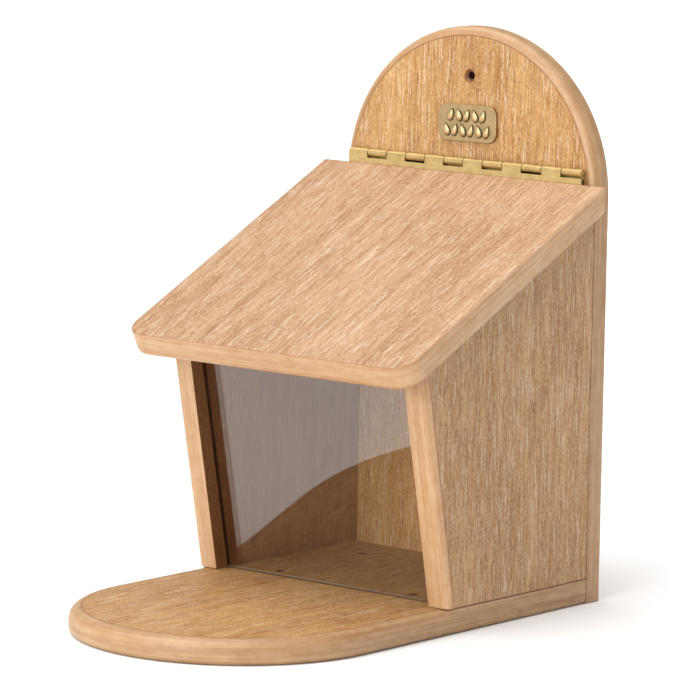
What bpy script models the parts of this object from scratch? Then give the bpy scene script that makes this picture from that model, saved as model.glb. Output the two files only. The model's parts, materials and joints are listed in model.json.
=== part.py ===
"""Bird feeder box: half-inch boards, hinged lid, lift-out clear window and a round-ended landing tray.

Metres, +Z up, X across, and the tray reaches towards -Y. The origin is at the middle of the underside.
Heights are above the underside, and depths run forward from the front face of the back panel.
"""

import math
from collections import namedtuple

import bmesh
import bpy

# Boards
BOARD = 0.0127  # thickness of every board
BODY_WIDTH = 0.1651  # back panel, base and box over the side panels
SIDE_REAR_HEIGHT = 0.2034  # top of the side panels where they meet the back panel
SIDE_DEPTH = 0.1130  # side panels where they stand on the base
SIDE_LEAN = math.radians(11.2)  # the front edges lean forward by this
ROOF_SLOPE = math.radians(26.2)
ROOF_SIDE_OVERHANG = 0.00955
ROOF_FRONT_OVERHANG = 0.0217  # along the slope, past the top corner of a side panel
ROOF_CORNER_RADIUS = 0.0127
TRAY_REACH = 0.2600  # base board from the back panel to its round end
ARCH_RISE = 0.0047  # straight edge of the back panel above the side panels

# Rounded edges
TRAY_TOP_ROUND = 0.00635
BOTTOM_ROUND = 0.0030  # underside of the tray and rear of the back panel
FRONT_ROUND = 0.0045  # arch front edge and outer front edges of the side panels
ROOF_BOTTOM_ROUND = 0.0024
ROUND_STEPS = 3
ARC_STEPS = 36  # straight pieces in a half circle
ROOF_CORNER_STEPS = 9
PLATE_CORNER_STEPS = 6

# Window
PANE_THICKNESS = 0.0020
GROOVE_SETBACK = 0.0078  # front edge of a side panel to its groove
GROOVE_WIDTH = 0.0032
GROOVE_DEPTH = 0.0040
PANE_END_CLEARANCE = 0.0005  # each end of the pane to the bottom of its groove
WINDOW_LIFT = 0.0030  # free travel of the pane under the closed lid

# Continuous hinge
KNUCKLE_PITCH = 0.0127
HINGE_END_MARGIN = 0.00635  # least distance of the hinge from the edges of the back panel
LEAF_THICKNESS = 0.0010
LEAF_DROP = 0.0159  # hinge axis to the long edge of a leaf
BARREL_RADIUS = 0.00215
BORE_RADIUS = 0.00115
PIN_CLEARANCE = 0.00008
KNUCKLE_GAP = 0.0005
NOTCH_CLEARANCE = 0.0008
AXIS_ABOVE_ROOF = 0.0054  # hinge axis above the rear top edge of the roof
BARREL_STEPS = 16

# Holes in the boards
HANG_HOLE_FROM_TOP = 0.0254
HANG_HOLE_RADIUS = 0.0020
HANG_SINK_RADIUS = 0.0035
DRAIN_RADIUS = 0.0024
DRAIN_HALF_SPACING = 0.0440
DRAIN_FROM_BACK = 0.0265
DRAIN_FROM_WINDOW = 0.0200  # forward pair, back from the front edge of the side panels
HOLE_STEPS = 20

# Name plate
PLATE_WIDTH = 0.0381
PLATE_HEIGHT = 0.01905
PLATE_THICKNESS = 0.0015
PLATE_CORNER = 0.0055
PLATE_EDGE_ROUND = 0.0004
PLATE_SHARE = 0.42  # centre of the plate, from the hinge up towards the hanging hole
PRONG_RADIUS = 0.0010
PRONG_LENGTH = 0.0050
PRONG_SPREAD = 0.0220
PRONG_OVERLAP = 0.25  # share of the plate's thickness that a prong runs into, past its middle

# Screws
ScrewSize = namedtuple("ScrewSize", "length head_radius shank_radius recess_width")
BOX_SCREW = ScrewSize(0.0318, 0.0034, 0.00175, 0.0007)
HINGE_SCREW = ScrewSize(0.0095, 0.0021, 0.0011, 0.0005)
SCREW_STEPS = 12
HEAD_LAND = 0.0002  # straight rim of a screw head
HEAD_SINK = 0.0002  # head face below the surface that it is driven into
RECESS_REACH = 0.6  # half length of each bar of the cross recess, as a share of the head's radius
RECESS_DEPTH = 0.5  # likewise its depth
SIDE_SCREW_LOW = 0.0450  # lower screw of each side, above the underside
SIDE_SCREW_FROM_TOP = 0.0380  # upper one, below the rear top of the side panels
BASE_SCREW_HALF_SPACING = 0.0560
UNDER_SCREW_FROM_BACK = 0.0300
UNDER_SCREW_FROM_FRONT = 0.0280
LEAF_SCREWS = 3
LEAF_SCREW_FROM_EDGE = 0.0030

GAP = 0.0003  # between touching pieces
CUT = 0.0020  # how far a cutter runs past the surface that it opens
TRIM_REACH = 4 * BOARD  # a cutter this large clears the whole rear edge of the roof

# Finishes: colours as sRGB, 0 to 255
BACK_COLOUR = (200, 158, 112)
BASE_COLOUR = (204, 160, 112)
SIDE_COLOUR = (196, 160, 114)
ROOF_COLOUR = (208, 164, 120)
BOARD_ROUGHNESS = 0.6
PANE_COLOUR = (225, 235, 235)
PANE_ROUGHNESS = 0.03
PANE_ALPHA = 0.3
LEAF_COLOUR = (196, 176, 118)
PIN_COLOUR = (186, 166, 110)
LEAF_SCREW_COLOUR = (188, 170, 116)
PLATE_COLOUR = (150, 132, 92)
STEEL_COLOUR = (150, 146, 138)
SHEET_ROUGHNESS = 0.4
TURNED_ROUGHNESS = 0.35
PLATED = 0.9  # metallic value of plated and antique brass

# Working tolerances
SAME_POINT = 1e-6  # points this near are one point
ON_PLANE = 1e-6  # a point this near to a plane lies on it
ON_OUTLINE = 1e-5  # a point this near to an outline lies on it
BISECT_TOLERANCE = 1e-7
LEAST_EDGE_ANGLE = 0.3  # radians; a flatter edge belongs to a curve and isn't rounded
FLAT_ANGLE = math.radians(0.5)  # faces that meet this flatly are merged
SMOOTH_ANGLE = math.radians(40)

# Places that follow from the sizes above
BODY_HALF = BODY_WIDTH / 2
ARCH_RADIUS = BODY_HALF
ARCH_CENTRE = SIDE_REAR_HEIGHT + ARCH_RISE
BACK_FACE_Y = (TRAY_REACH - BOARD) / 2
HINGE_DEPTH = GAP + BARREL_RADIUS
ROOF_REAR_DEPTH = 2 * HINGE_DEPTH
ROOF_REAR_TOP = (
    SIDE_REAR_HEIGHT + (BOARD + GAP) / math.cos(ROOF_SLOPE) - ROOF_REAR_DEPTH * math.tan(ROOF_SLOPE)
)
HINGE_HEIGHT = ROOF_REAR_TOP + AXIS_ABOVE_ROOF
KNUCKLES = 2 * int((BODY_WIDTH - 2 * HINGE_END_MARGIN + GAP) / KNUCKLE_PITCH / 2)
HINGE_LENGTH = KNUCKLES * KNUCKLE_PITCH
PIN_RADIUS = BORE_RADIUS - PIN_CLEARANCE
HANG_HOLE_HEIGHT = ARCH_CENTRE + ARCH_RADIUS - HANG_HOLE_FROM_TOP
PANE_FRONT = GROOVE_SETBACK + GROOVE_WIDTH - GAP - PANE_THICKNESS

# Turns that aim a piece whose own axis is +Z
FACE_UP = (0.0, 0.0, 0.0)
FACE_DOWN = (math.pi, 0.0, 0.0)
FACE_FRONT = (math.pi / 2, 0.0, 0.0)
FACE_REAR = (-math.pi / 2, 0.0, 0.0)
ACROSS = (math.pi / 2, 0.0, math.pi / 2)  # an outline's x and y become depth and height


def empty_scene():
    for obj in list(bpy.data.objects):
        bpy.data.objects.remove(obj, do_unlink=True)
    for old in list(bpy.data.collections):
        bpy.data.collections.remove(old)


def new_collection(name):
    made = bpy.data.collections.new(name)
    bpy.context.scene.collection.children.link(made)
    return made


def linear(channel):
    """One sRGB channel, 0 to 255, as the linear value that a shader takes."""
    share = channel / 255
    return share / 12.92 if share <= 0.04045 else ((share + 0.055) / 1.055) ** 2.4


def paint(obj, colour, roughness, metallic=0.0, alpha=1.0):
    """Gives the object its own Principled material."""
    material = bpy.data.materials.new(obj.name + "_finish")
    material.use_nodes = True
    shader = material.node_tree.nodes["Principled BSDF"]
    shader.inputs["Base Color"].default_value = (*(linear(c) for c in colour), 1.0)
    shader.inputs["Roughness"].default_value = roughness
    shader.inputs["Metallic"].default_value = metallic
    shader.inputs["Alpha"].default_value = alpha
    obj.data.materials.append(material)


def place(obj, location, rotation=FACE_UP, parent=None):
    obj.location = location
    obj.rotation_euler = rotation
    obj.parent = parent
    return obj


def empty(name, location, rotation=FACE_UP, parent=None):
    obj = bpy.data.objects.new(name, None)
    PIECES.objects.link(obj)
    return place(obj, location, rotation, parent)


def arc(centre, radius, start, end, steps):
    """Points on an arc, in degrees, with both ends."""
    points = []
    for i in range(steps + 1):
        angle = math.radians(start + (end - start) * i / steps)
        points.append((centre[0] + radius * math.cos(angle), centre[1] + radius * math.sin(angle)))
    return points


def flat_piece(name, loops, thickness, home):
    """A flat outline with any holes, in the local XY plane, given a thickness about that plane."""
    curve = bpy.data.curves.new(name, "CURVE")
    curve.dimensions = "2D"
    curve.fill_mode = "BOTH"
    curve.extrude = thickness / 2
    for loop in loops:
        spline = curve.splines.new("POLY")
        spline.points.add(len(loop) - 1)
        spline.use_cyclic_u = True
        for point, (x, y) in zip(spline.points, loop):
            point.co = (x, y, 0.0, 1.0)
    outline = bpy.data.objects.new(name + "_outline", curve)
    home.objects.link(outline)
    graph = bpy.context.evaluated_depsgraph_get()
    mesh = bpy.data.meshes.new_from_object(outline.evaluated_get(graph))
    bpy.data.objects.remove(outline)
    work = bmesh.new()
    work.from_mesh(mesh)
    bmesh.ops.remove_doubles(work, verts=work.verts, dist=SAME_POINT)
    bmesh.ops.dissolve_limit(work, angle_limit=FLAT_ANGLE, verts=work.verts, edges=work.edges)
    bmesh.ops.recalc_face_normals(work, faces=work.faces)
    work.to_mesh(mesh)
    work.free()
    obj = bpy.data.objects.new(name, mesh)
    home.objects.link(obj)
    return obj


def split_across(obj, point, normal):
    """Adds a ring of edges where a plane crosses the piece, for a rounded edge to stop at."""
    work = bmesh.new()
    work.from_mesh(obj.data)
    everything = work.verts[:] + work.edges[:] + work.faces[:]
    bmesh.ops.bisect_plane(work, geom=everything, dist=BISECT_TOLERANCE, plane_co=point, plane_no=normal)
    work.to_mesh(obj.data)
    work.free()


def round_edges(obj, radius, chosen):
    """Rounds the edges for which chosen says yes to both ends."""
    work = bmesh.new()
    work.from_mesh(obj.data)
    sharp = [e for e in work.edges if e.calc_face_angle(0) > LEAST_EDGE_ANGLE]
    picked = [e for e in sharp if all(chosen(v.co) for v in e.verts)]
    settings = {"segments": ROUND_STEPS, "profile": 0.5, "affect": "EDGES", "clamp_overlap": True}
    bmesh.ops.bevel(work, geom=picked, offset=radius, **settings)
    work.to_mesh(obj.data)
    work.free()


def box(name, low, high, home):
    """A box between two corners, from a unit cube."""
    work = bmesh.new()
    bmesh.ops.create_cube(work, size=1.0)
    bmesh.ops.scale(work, vec=[b - a for a, b in zip(low, high)], verts=work.verts)
    bmesh.ops.translate(work, vec=[(a + b) / 2 for a, b in zip(low, high)], verts=work.verts)
    mesh = bpy.data.meshes.new(name)
    work.to_mesh(mesh)
    work.free()
    obj = bpy.data.objects.new(name, mesh)
    home.objects.link(obj)
    return obj


def turned(name, profile, steps, home):
    """Turns a half outline of (radius, height) points, listed from the top down, about Z."""
    mesh = bpy.data.meshes.new(name)
    points = [(radius, 0.0, height) for radius, height in profile]
    mesh.from_pydata(points, [(i, i + 1) for i in range(len(points) - 1)], [])
    obj = bpy.data.objects.new(name, mesh)
    home.objects.link(obj)
    screw = obj.modifiers.new("turn", "SCREW")
    screw.steps = steps
    screw.render_steps = steps
    screw.use_merge_vertices = True
    screw.merge_threshold = SAME_POINT
    return obj


def cutter(obj):
    obj.hide_render = True
    obj.display_type = "WIRE"
    return obj


def combine(obj, other, operation="DIFFERENCE"):
    """Cuts the other piece out of this one, or joins it on."""
    boolean = obj.modifiers.new(operation.lower(), "BOOLEAN")
    boolean.operation = operation
    boolean.solver = "EXACT"
    boolean.object = cutter(other)


def shade(obj):
    obj.data.shade_smooth()
    obj.data.set_sharp_from_angle(angle=SMOOTH_ANGLE)


def screw_profile(size, grow=0.0):
    """Half outline of a countersunk screw with its head face at height 0, or the hole that clears it."""
    head = size.head_radius + grow
    shank = size.shank_radius + grow
    top = CUT if grow else 0.0
    neck = HEAD_LAND + head - shank
    point = size.length + grow
    return [
        (0.0, top),
        (head, top),
        (head, -HEAD_LAND),
        (shank, -neck),
        (shank, -(point - 2 * shank)),
        (0.0, -point),
    ]


def add_screw(name, size, location, rotation, parent, cut_pieces):
    """A screw with a cross recess, and the hole for it in every piece that it passes into."""
    screw = place(turned(name, screw_profile(size), SCREW_STEPS, PIECES), location, rotation, parent)
    shade(screw)
    reach = size.head_radius * RECESS_REACH
    for turn in (0.0, math.pi / 2):
        slot = box(
            name + "_recess",
            (-reach, -size.recess_width / 2, -size.head_radius * RECESS_DEPTH),
            (reach, size.recess_width / 2, CUT),
            CUTTERS,
        )
        slot.rotation_euler = (0.0, 0.0, turn)
        slot.parent = screw
        combine(screw, slot)
    hole = turned(name + "_hole", screw_profile(size, GAP), SCREW_STEPS, CUTTERS)
    place(hole, location, rotation, parent)
    for piece in cut_pieces:
        combine(piece, hole)
    return screw


def lean_height(setback, rear_height):
    """Distance up the leaning front edge at which a point set back from it meets the roof's slope.

    rear_height is the height of that slope at the back panel.
    """
    slope = math.tan(ROOF_SLOPE)
    depth = SIDE_DEPTH - setback * math.cos(SIDE_LEAN)
    start = BOARD + setback * math.sin(SIDE_LEAN)
    return (rear_height - start - slope * depth) / (math.cos(SIDE_LEAN) + math.sin(SIDE_LEAN) * slope)


def make_back_panel():
    outline = [(-BODY_HALF, 0.0), (BODY_HALF, 0.0)] + arc((0.0, ARCH_CENTRE), ARCH_RADIUS, 0, 180, ARC_STEPS)
    panel = flat_piece("back_panel", [outline], BOARD, PIECES)
    split_across(panel, (0.0, SIDE_REAR_HEIGHT, 0.0), (0.0, 1.0, 0.0))
    front = BOARD / 2 - ON_PLANE
    above = SIDE_REAR_HEIGHT - ON_PLANE
    round_edges(panel, FRONT_ROUND, lambda co: co.z > front and co.y > above and on_arch_or_side(co))
    round_edges(panel, BOTTOM_ROUND, lambda co: co.z < -front and on_arch_or_side(co))
    place(panel, (0.0, BOARD / 2, 0.0), FACE_FRONT, DATUM)
    shade(panel)
    paint(panel, BACK_COLOUR, BOARD_ROUGHNESS)
    sink = HANG_SINK_RADIUS - HANG_HOLE_RADIUS
    profile = [
        (0.0, CUT),
        (HANG_SINK_RADIUS, CUT),
        (HANG_SINK_RADIUS, 0.0),
        (HANG_HOLE_RADIUS, -sink),
        (HANG_HOLE_RADIUS, -BOARD - CUT),
        (0.0, -BOARD - CUT),
    ]
    hole = turned("hanging_hole", profile, HOLE_STEPS, CUTTERS)
    place(hole, (0.0, 0.0, HANG_HOLE_HEIGHT), FACE_FRONT, DATUM)
    combine(panel, hole)
    return panel


def on_arch_or_side(co):
    """True on the side edges and the arch of the back panel, in its own outline plane."""
    if co.y <= ARCH_CENTRE:
        return abs(co.x) > BODY_HALF - ON_OUTLINE
    return math.hypot(co.x, co.y - ARCH_CENTRE) > ARCH_RADIUS - ON_OUTLINE


def make_base_board():
    straight = -(TRAY_REACH - BODY_HALF)
    outline = [(BODY_HALF, -GAP), (-BODY_HALF, -GAP)]
    outline += arc((0.0, straight), BODY_HALF, 180, 360, ARC_STEPS)
    base = flat_piece("base_board", [outline], BOARD, PIECES)
    split_across(base, (0.0, -SIDE_DEPTH, 0.0), (0.0, 1.0, 0.0))

    def on_rim(co):
        if co.y >= straight:
            return abs(co.x) > BODY_HALF - ON_OUTLINE
        return math.hypot(co.x, co.y - straight) > BODY_HALF - ON_OUTLINE

    top = BOARD / 2 - ON_PLANE
    stop = -SIDE_DEPTH + ON_PLANE
    round_edges(base, TRAY_TOP_ROUND, lambda co: co.z > top and co.y < stop and on_rim(co))
    round_edges(base, BOTTOM_ROUND, lambda co: co.z < -top and on_rim(co))
    place(base, (0.0, 0.0, BOARD / 2), FACE_UP, DATUM)
    shade(base)
    paint(base, BASE_COLOUR, BOARD_ROUGHNESS)
    forward = -(SIDE_DEPTH - DRAIN_FROM_WINDOW)
    end = -BOARD - CUT
    profile = [(0.0, CUT), (DRAIN_RADIUS, CUT), (DRAIN_RADIUS, end), (0.0, end)]
    for side in (-1, 1):
        for depth in (-DRAIN_FROM_BACK, forward):
            hole = turned("drain_hole", profile, HOLE_STEPS, CUTTERS)
            place(hole, (side * DRAIN_HALF_SPACING, depth, BOARD), FACE_UP, DATUM)
            combine(base, hole)
    return base


def make_side_panel(name, side):
    """One side panel, whose outline's x is depth and y is height. side is -1 on the left, 1 on the right."""
    slope = math.tan(ROOF_SLOPE)
    up = lean_height(0.0, SIDE_REAR_HEIGHT)
    outline = [
        (-GAP, BOARD + GAP),
        (-GAP, SIDE_REAR_HEIGHT - GAP * slope),
        (-SIDE_DEPTH - up * math.sin(SIDE_LEAN), BOARD + up * math.cos(SIDE_LEAN)),
        (-SIDE_DEPTH - GAP * math.tan(SIDE_LEAN), BOARD + GAP),
    ]
    panel = flat_piece(name, [outline], BOARD, PIECES)
    outer = BOARD / 2 - ON_PLANE

    def on_outer_front(co):
        line = -SIDE_DEPTH - (co.y - BOARD) * math.tan(SIDE_LEAN)
        return side * co.z > outer and abs(co.x - line) < ON_OUTLINE

    round_edges(panel, FRONT_ROUND, on_outer_front)
    place(panel, (side * (BODY_HALF - BOARD / 2), 0.0, 0.0), ACROSS, DATUM)
    shade(panel)
    paint(panel, SIDE_COLOUR, BOARD_ROUGHNESS)
    inner = side * (BODY_HALF - BOARD)
    ends = sorted((inner - side * CUT, inner + side * GROOVE_DEPTH))
    groove = box(
        name + "_groove",
        (ends[0], GROOVE_SETBACK, -SIDE_REAR_HEIGHT),
        (ends[1], GROOVE_SETBACK + GROOVE_WIDTH, SIDE_REAR_HEIGHT),
        CUTTERS,
    )
    groove.parent = CHANNEL
    combine(panel, groove)
    return panel


def make_window():
    """The clear pane: it stands on the base, and its top clears the closed lid by the free travel."""
    half = BODY_HALF - BOARD + GROOVE_DEPTH - PANE_END_CLEARANCE
    underside = SIDE_REAR_HEIGHT + GAP / math.cos(ROOF_SLOPE)
    bottom = (GAP - PANE_FRONT * math.sin(SIDE_LEAN)) / math.cos(SIDE_LEAN)
    top = lean_height(PANE_FRONT, underside) - WINDOW_LIFT - GAP
    low = (-half, -PANE_THICKNESS / 2, bottom)
    high = (half, PANE_THICKNESS / 2, top)
    pane = box("front_window", low, high, PIECES)
    place(pane, (0.0, PANE_FRONT + PANE_THICKNESS / 2, 0.0), FACE_UP, CHANNEL)
    paint(pane, PANE_COLOUR, PANE_ROUGHNESS, alpha=PANE_ALPHA)
    return pane


def make_roof():
    """The sloping lid, with its rear edge cut upright to meet the hinge."""
    front_depth = SIDE_DEPTH + lean_height(0.0, SIDE_REAR_HEIGHT) * math.sin(SIDE_LEAN)
    covered = front_depth - ROOF_REAR_DEPTH + BOARD * math.sin(ROOF_SLOPE)
    length = covered / math.cos(ROOF_SLOPE) + ROOF_FRONT_OVERHANG
    half = BODY_HALF + ROOF_SIDE_OVERHANG
    spare = BOARD * math.tan(ROOF_SLOPE)
    corner = ROOF_CORNER_RADIUS
    steps = ROOF_CORNER_STEPS
    outline = [(half, spare), (-half, spare)]
    outline += arc((-half + corner, -length + corner), corner, 180, 270, steps)
    outline += arc((half - corner, -length + corner), corner, 270, 360, steps)
    roof = flat_piece("roof_panel", [outline], BOARD, PIECES)
    bottom = -BOARD / 2 + ON_PLANE
    rear_edge = spare - ON_PLANE
    round_edges(roof, ROOF_BOTTOM_ROUND, lambda co: co.z < bottom and co.y <= rear_edge)
    half_board = BOARD / 2
    depth = -HINGE_DEPTH + half_board * math.sin(ROOF_SLOPE)
    height = -AXIS_ABOVE_ROOF - half_board * math.cos(ROOF_SLOPE)
    place(roof, (0.0, depth, height), (ROOF_SLOPE, 0.0, 0.0), LID)
    shade(roof)
    paint(roof, ROOF_COLOUR, BOARD_ROUGHNESS)
    low = (-BODY_WIDTH, -HINGE_DEPTH, -TRIM_REACH)
    high = (BODY_WIDTH, TRIM_REACH, TRIM_REACH)
    trim = box("roof_rear_cut", low, high, CUTTERS)
    trim.parent = LID
    combine(roof, trim)
    return roof


def make_leaf(name, side, first, parent):
    """One hinge leaf about the hinge axis. side is -1 for the roof's leaf in front and 1 for the back's.

    first is the place, from the left, of its first knuckle. The other knuckles' places are notched out.
    """
    inner = BARREL_RADIUS - LEAF_THICKNESS
    turn = math.degrees(math.acos(inner / BARREL_RADIUS))
    points = arc((0.0, 0.0), BARREL_RADIUS, 180, -180 + turn, BARREL_STEPS)
    outline = [(-BARREL_RADIUS, -LEAF_DROP)] + points + [(-inner, -LEAF_DROP)]
    bore = arc((0.0, 0.0), BORE_RADIUS, 0, 360, BARREL_STEPS)[:-1]
    loops = [[(-side * x, y) for x, y in loop] for loop in (outline, bore)]
    leaf = flat_piece(name, loops, HINGE_LENGTH, PIECES)
    place(leaf, (0.0, 0.0, 0.0), ACROSS, parent)
    shade(leaf)
    paint(leaf, LEAF_COLOUR, SHEET_ROUGHNESS, metallic=PLATED)
    reach = BARREL_RADIUS + NOTCH_CLEARANCE
    for place_number in range(KNUCKLES):
        if place_number % 2 == first:
            continue
        left = -HINGE_LENGTH / 2 + place_number * KNUCKLE_PITCH
        start = left - (CUT if place_number == 0 else KNUCKLE_GAP / 2)
        end = left + KNUCKLE_PITCH + (CUT if place_number == KNUCKLES - 1 else KNUCKLE_GAP / 2)
        notch = box(name + "_notch", (start, -reach, -reach), (end, reach, reach), CUTTERS)
        notch.parent = parent
        combine(leaf, notch)
    return leaf


def make_pin():
    half = HINGE_LENGTH / 2
    profile = [(0.0, half), (PIN_RADIUS, half), (PIN_RADIUS, -half), (0.0, -half)]
    pin = turned("hinge_pin", profile, BARREL_STEPS, PIECES)
    place(pin, (0.0, 0.0, 0.0), (0.0, math.pi / 2, 0.0), HINGE)
    shade(pin)
    paint(pin, PIN_COLOUR, TURNED_ROUGHNESS, metallic=PLATED)
    return pin


def make_plate(back_panel):
    """The name plate: a rounded brass tablet held by two prongs cast on its back."""
    across = PLATE_WIDTH / 2 - PLATE_CORNER
    upright = PLATE_HEIGHT / 2 - PLATE_CORNER
    outline = []
    for start, x, y in ((0, 1, 1), (90, -1, 1), (180, -1, -1), (270, 1, -1)):
        corner = (x * across, y * upright)
        outline += arc(corner, PLATE_CORNER, start, start + 90, PLATE_CORNER_STEPS)
    plate = flat_piece("name_plate", [outline], PLATE_THICKNESS, PIECES)
    front = PLATE_THICKNESS / 2 - ON_PLANE
    round_edges(plate, PLATE_EDGE_ROUND, lambda co: co.z > front)
    hinge_top = HINGE_HEIGHT + BARREL_RADIUS
    height = hinge_top + PLATE_SHARE * (HANG_HOLE_HEIGHT - hinge_top)
    middle = (0.0, -GAP - PLATE_THICKNESS / 2, height)
    place(plate, middle, FACE_FRONT, DATUM)
    shade(plate)
    paint(plate, PLATE_COLOUR, SHEET_ROUGHNESS, metallic=PLATED)
    for side in (-1, 1):
        spot = (side * PRONG_SPREAD / 2, middle[1], middle[2])
        combine(plate, make_prong("plate_prong", spot, 0.0), "UNION")
        combine(back_panel, make_prong("plate_prong_hole", spot, GAP))
    return plate


def make_prong(name, location, grow):
    """A prong on the back of the plate, or the hole that clears it."""
    top = PLATE_THICKNESS * PRONG_OVERLAP
    end = -GAP - PLATE_THICKNESS / 2 - PRONG_LENGTH - grow
    wide = PRONG_RADIUS + grow
    prong = turned(name, [(0.0, top), (wide, top), (wide, end), (0.0, end)], SCREW_STEPS, CUTTERS)
    return place(prong, location, FACE_FRONT, DATUM)


def add_box_screws(back_panel, base, sides):
    """Screws through the back into the sides and the base, and up through the base into the sides."""
    rear_face = BOARD - HEAD_SINK
    for label, side in (("left", -1), ("right", 1)):
        panel = sides[label]
        across = side * (BODY_HALF - BOARD / 2)
        heights = {"lower": SIDE_SCREW_LOW, "upper": SIDE_REAR_HEIGHT - SIDE_SCREW_FROM_TOP}
        for level, height in heights.items():
            spot = (across, rear_face, height)
            name = f"side_screw_{label}_{level}"
            screw = add_screw(name, BOX_SCREW, spot, FACE_REAR, DATUM, (back_panel, panel))
            paint(screw, STEEL_COLOUR, TURNED_ROUGHNESS, metallic=1.0)
        spot = (side * BASE_SCREW_HALF_SPACING, rear_face, BOARD / 2)
        name = f"base_screw_{label}"
        screw = add_screw(name, BOX_SCREW, spot, FACE_REAR, DATUM, (back_panel, base))
        paint(screw, STEEL_COLOUR, TURNED_ROUGHNESS, metallic=1.0)
        depths = {"rear": UNDER_SCREW_FROM_BACK, "front": SIDE_DEPTH - UNDER_SCREW_FROM_FRONT}
        for level, depth in depths.items():
            spot = (across, -depth, HEAD_SINK)
            name = f"under_screw_{label}_{level}"
            screw = add_screw(name, BOX_SCREW, spot, FACE_DOWN, DATUM, (base, panel))
            paint(screw, STEEL_COLOUR, TURNED_ROUGHNESS, metallic=1.0)


def add_leaf_screws(back_leaf, back_panel, roof_leaf, roof):
    """The hinge's small screws, evenly spaced along each leaf."""
    height = LEAF_SCREW_FROM_EDGE - LEAF_DROP
    surface = BARREL_RADIUS - LEAF_THICKNESS - HEAD_SINK / 2
    spacing = HINGE_LENGTH / LEAF_SCREWS
    for number in range(LEAF_SCREWS):
        across = (number - (LEAF_SCREWS - 1) / 2) * spacing
        fixings = (
            (f"back_leaf_screw_{number + 1}", surface, FACE_FRONT, HINGE, (back_leaf, back_panel)),
            (f"roof_leaf_screw_{number + 1}", -surface, FACE_REAR, LID, (roof_leaf, roof)),
        )
        for name, depth, rotation, parent, pieces in fixings:
            screw = add_screw(name, HINGE_SCREW, (across, depth, height), rotation, parent, pieces)
            paint(screw, LEAF_SCREW_COLOUR, TURNED_ROUGHNESS, metallic=PLATED)


def main():
    back_panel = make_back_panel()
    base = make_base_board()
    sides = {
        "left": make_side_panel("side_panel_left", -1),
        "right": make_side_panel("side_panel_right", 1),
    }
    make_window()
    roof = make_roof()
    roof_leaf = make_leaf("hinge_roof_leaf", -1, 0, LID)
    back_leaf = make_leaf("hinge_back_leaf", 1, 1, HINGE)
    make_pin()
    make_plate(back_panel)
    add_box_screws(back_panel, base, sides)
    add_leaf_screws(back_leaf, back_panel, roof_leaf, roof)


empty_scene()
PIECES = new_collection("birdhouse_feeder")
CUTTERS = new_collection("cutters")
DATUM = empty("back_face_datum", (0.0, BACK_FACE_Y, 0.0))
HINGE = empty("hinge_axis", (0.0, -HINGE_DEPTH, HINGE_HEIGHT), parent=DATUM)
LID = empty("lid_pivot", (0.0, -HINGE_DEPTH, HINGE_HEIGHT), parent=DATUM)
CHANNEL = empty("window_channel", (0.0, -SIDE_DEPTH, BOARD), (SIDE_LEAN, 0.0, 0.0), DATUM)
main()
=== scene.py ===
import json
import math

import bmesh
import bpy
from mathutils import Matrix, Vector


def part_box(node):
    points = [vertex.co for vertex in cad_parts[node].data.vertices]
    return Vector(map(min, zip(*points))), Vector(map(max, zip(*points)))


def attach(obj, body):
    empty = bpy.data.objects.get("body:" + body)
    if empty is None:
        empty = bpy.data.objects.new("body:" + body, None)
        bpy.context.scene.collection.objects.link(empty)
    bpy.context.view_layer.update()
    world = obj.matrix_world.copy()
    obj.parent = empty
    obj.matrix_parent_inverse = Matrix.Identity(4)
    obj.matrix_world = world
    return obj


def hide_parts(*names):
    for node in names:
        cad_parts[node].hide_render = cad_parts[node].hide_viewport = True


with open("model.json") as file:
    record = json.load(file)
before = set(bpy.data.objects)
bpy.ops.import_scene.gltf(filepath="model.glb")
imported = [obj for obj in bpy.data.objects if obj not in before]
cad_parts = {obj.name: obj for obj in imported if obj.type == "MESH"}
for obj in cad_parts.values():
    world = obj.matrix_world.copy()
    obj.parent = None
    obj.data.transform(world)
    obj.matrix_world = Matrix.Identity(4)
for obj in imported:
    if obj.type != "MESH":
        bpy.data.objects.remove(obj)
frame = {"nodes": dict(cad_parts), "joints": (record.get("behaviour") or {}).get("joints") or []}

bl_info = {
    "name": "Birdhouse Feeder",
    "version": (1, 0, 0),
    "blender": (4, 5, 0),
    "location": "View3D > Sidebar > Birdhouse Feeder",
    "description": "Builds the finished surfaces of an arched box feeder around its packed parts",
    "category": "Object",
}

MM = 0.001
ARC_STEPS = 144  # straight pieces in the half circle of a round-ended board
ROUND_STEPS = 8  # strips across a milled round
FLAT_LIMIT = 0.9999  # a face whose normal is this close to the board's own is a brushed face
NUMBER = "NodeSocketFloat"  # kind of a tree's input for a length or a weight
GRAIN = "grain"  # attribute: across, along and through the board, in metres
ARRIS = "arris"  # attribute: 1 on the line where a brushed face meets a milled edge
BRUSHED, MILLED, SHADED_KERF, PAINTED_SHADE = range(4)  # order of a board's finishes; the last two carry painted shade
CORNER_STEPS = 24  # straight pieces in a quarter round of the lid
PLATE_CORNER_STEPS = 12  # the same on the name plate
LID_ROUND_STEPS = 6  # strips across the round under the lid
RIM_STRIP = 0.9 * MM  # face beside every edge that takes the burnished line
GROOVE_CUT = 500 * MM  # length of the groove's cutter, longer than any side panel
OVERCUT = 2 * MM  # how far a cutter stands out of the wood
SCREW_HOLE = (1.9 * MM, 3.65 * MM, 6 * MM)  # bore, sink and depth of a screw's pocket in a board
LEAF_HOLE = (1.25 * MM, 2.25 * MM, 3 * MM)  # the same in a hinge leaf
LUMBER_SCREW = (3.4 * MM, 1.75 * MM, 31.8 * MM, 0.7 * MM)  # head, shank, length and recess
LEAF_SCREW = (2.1 * MM, 1.1 * MM, 9.5 * MM, 0.5 * MM)
REARWARD, FORWARD, DOWNWARD = ((turn * math.pi / 2, 0.0, 0.0) for turn in (-1, 1, 2))  # way a head faces
SCREW_LAND = 0.2 * MM  # straight rim above a countersunk head's cone
SCREW_POINT = 0.1 * MM  # radius left at a screw's point
SHEET_BREAK = 0.12 * MM  # rounding of the hinge leaves' edges
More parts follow.
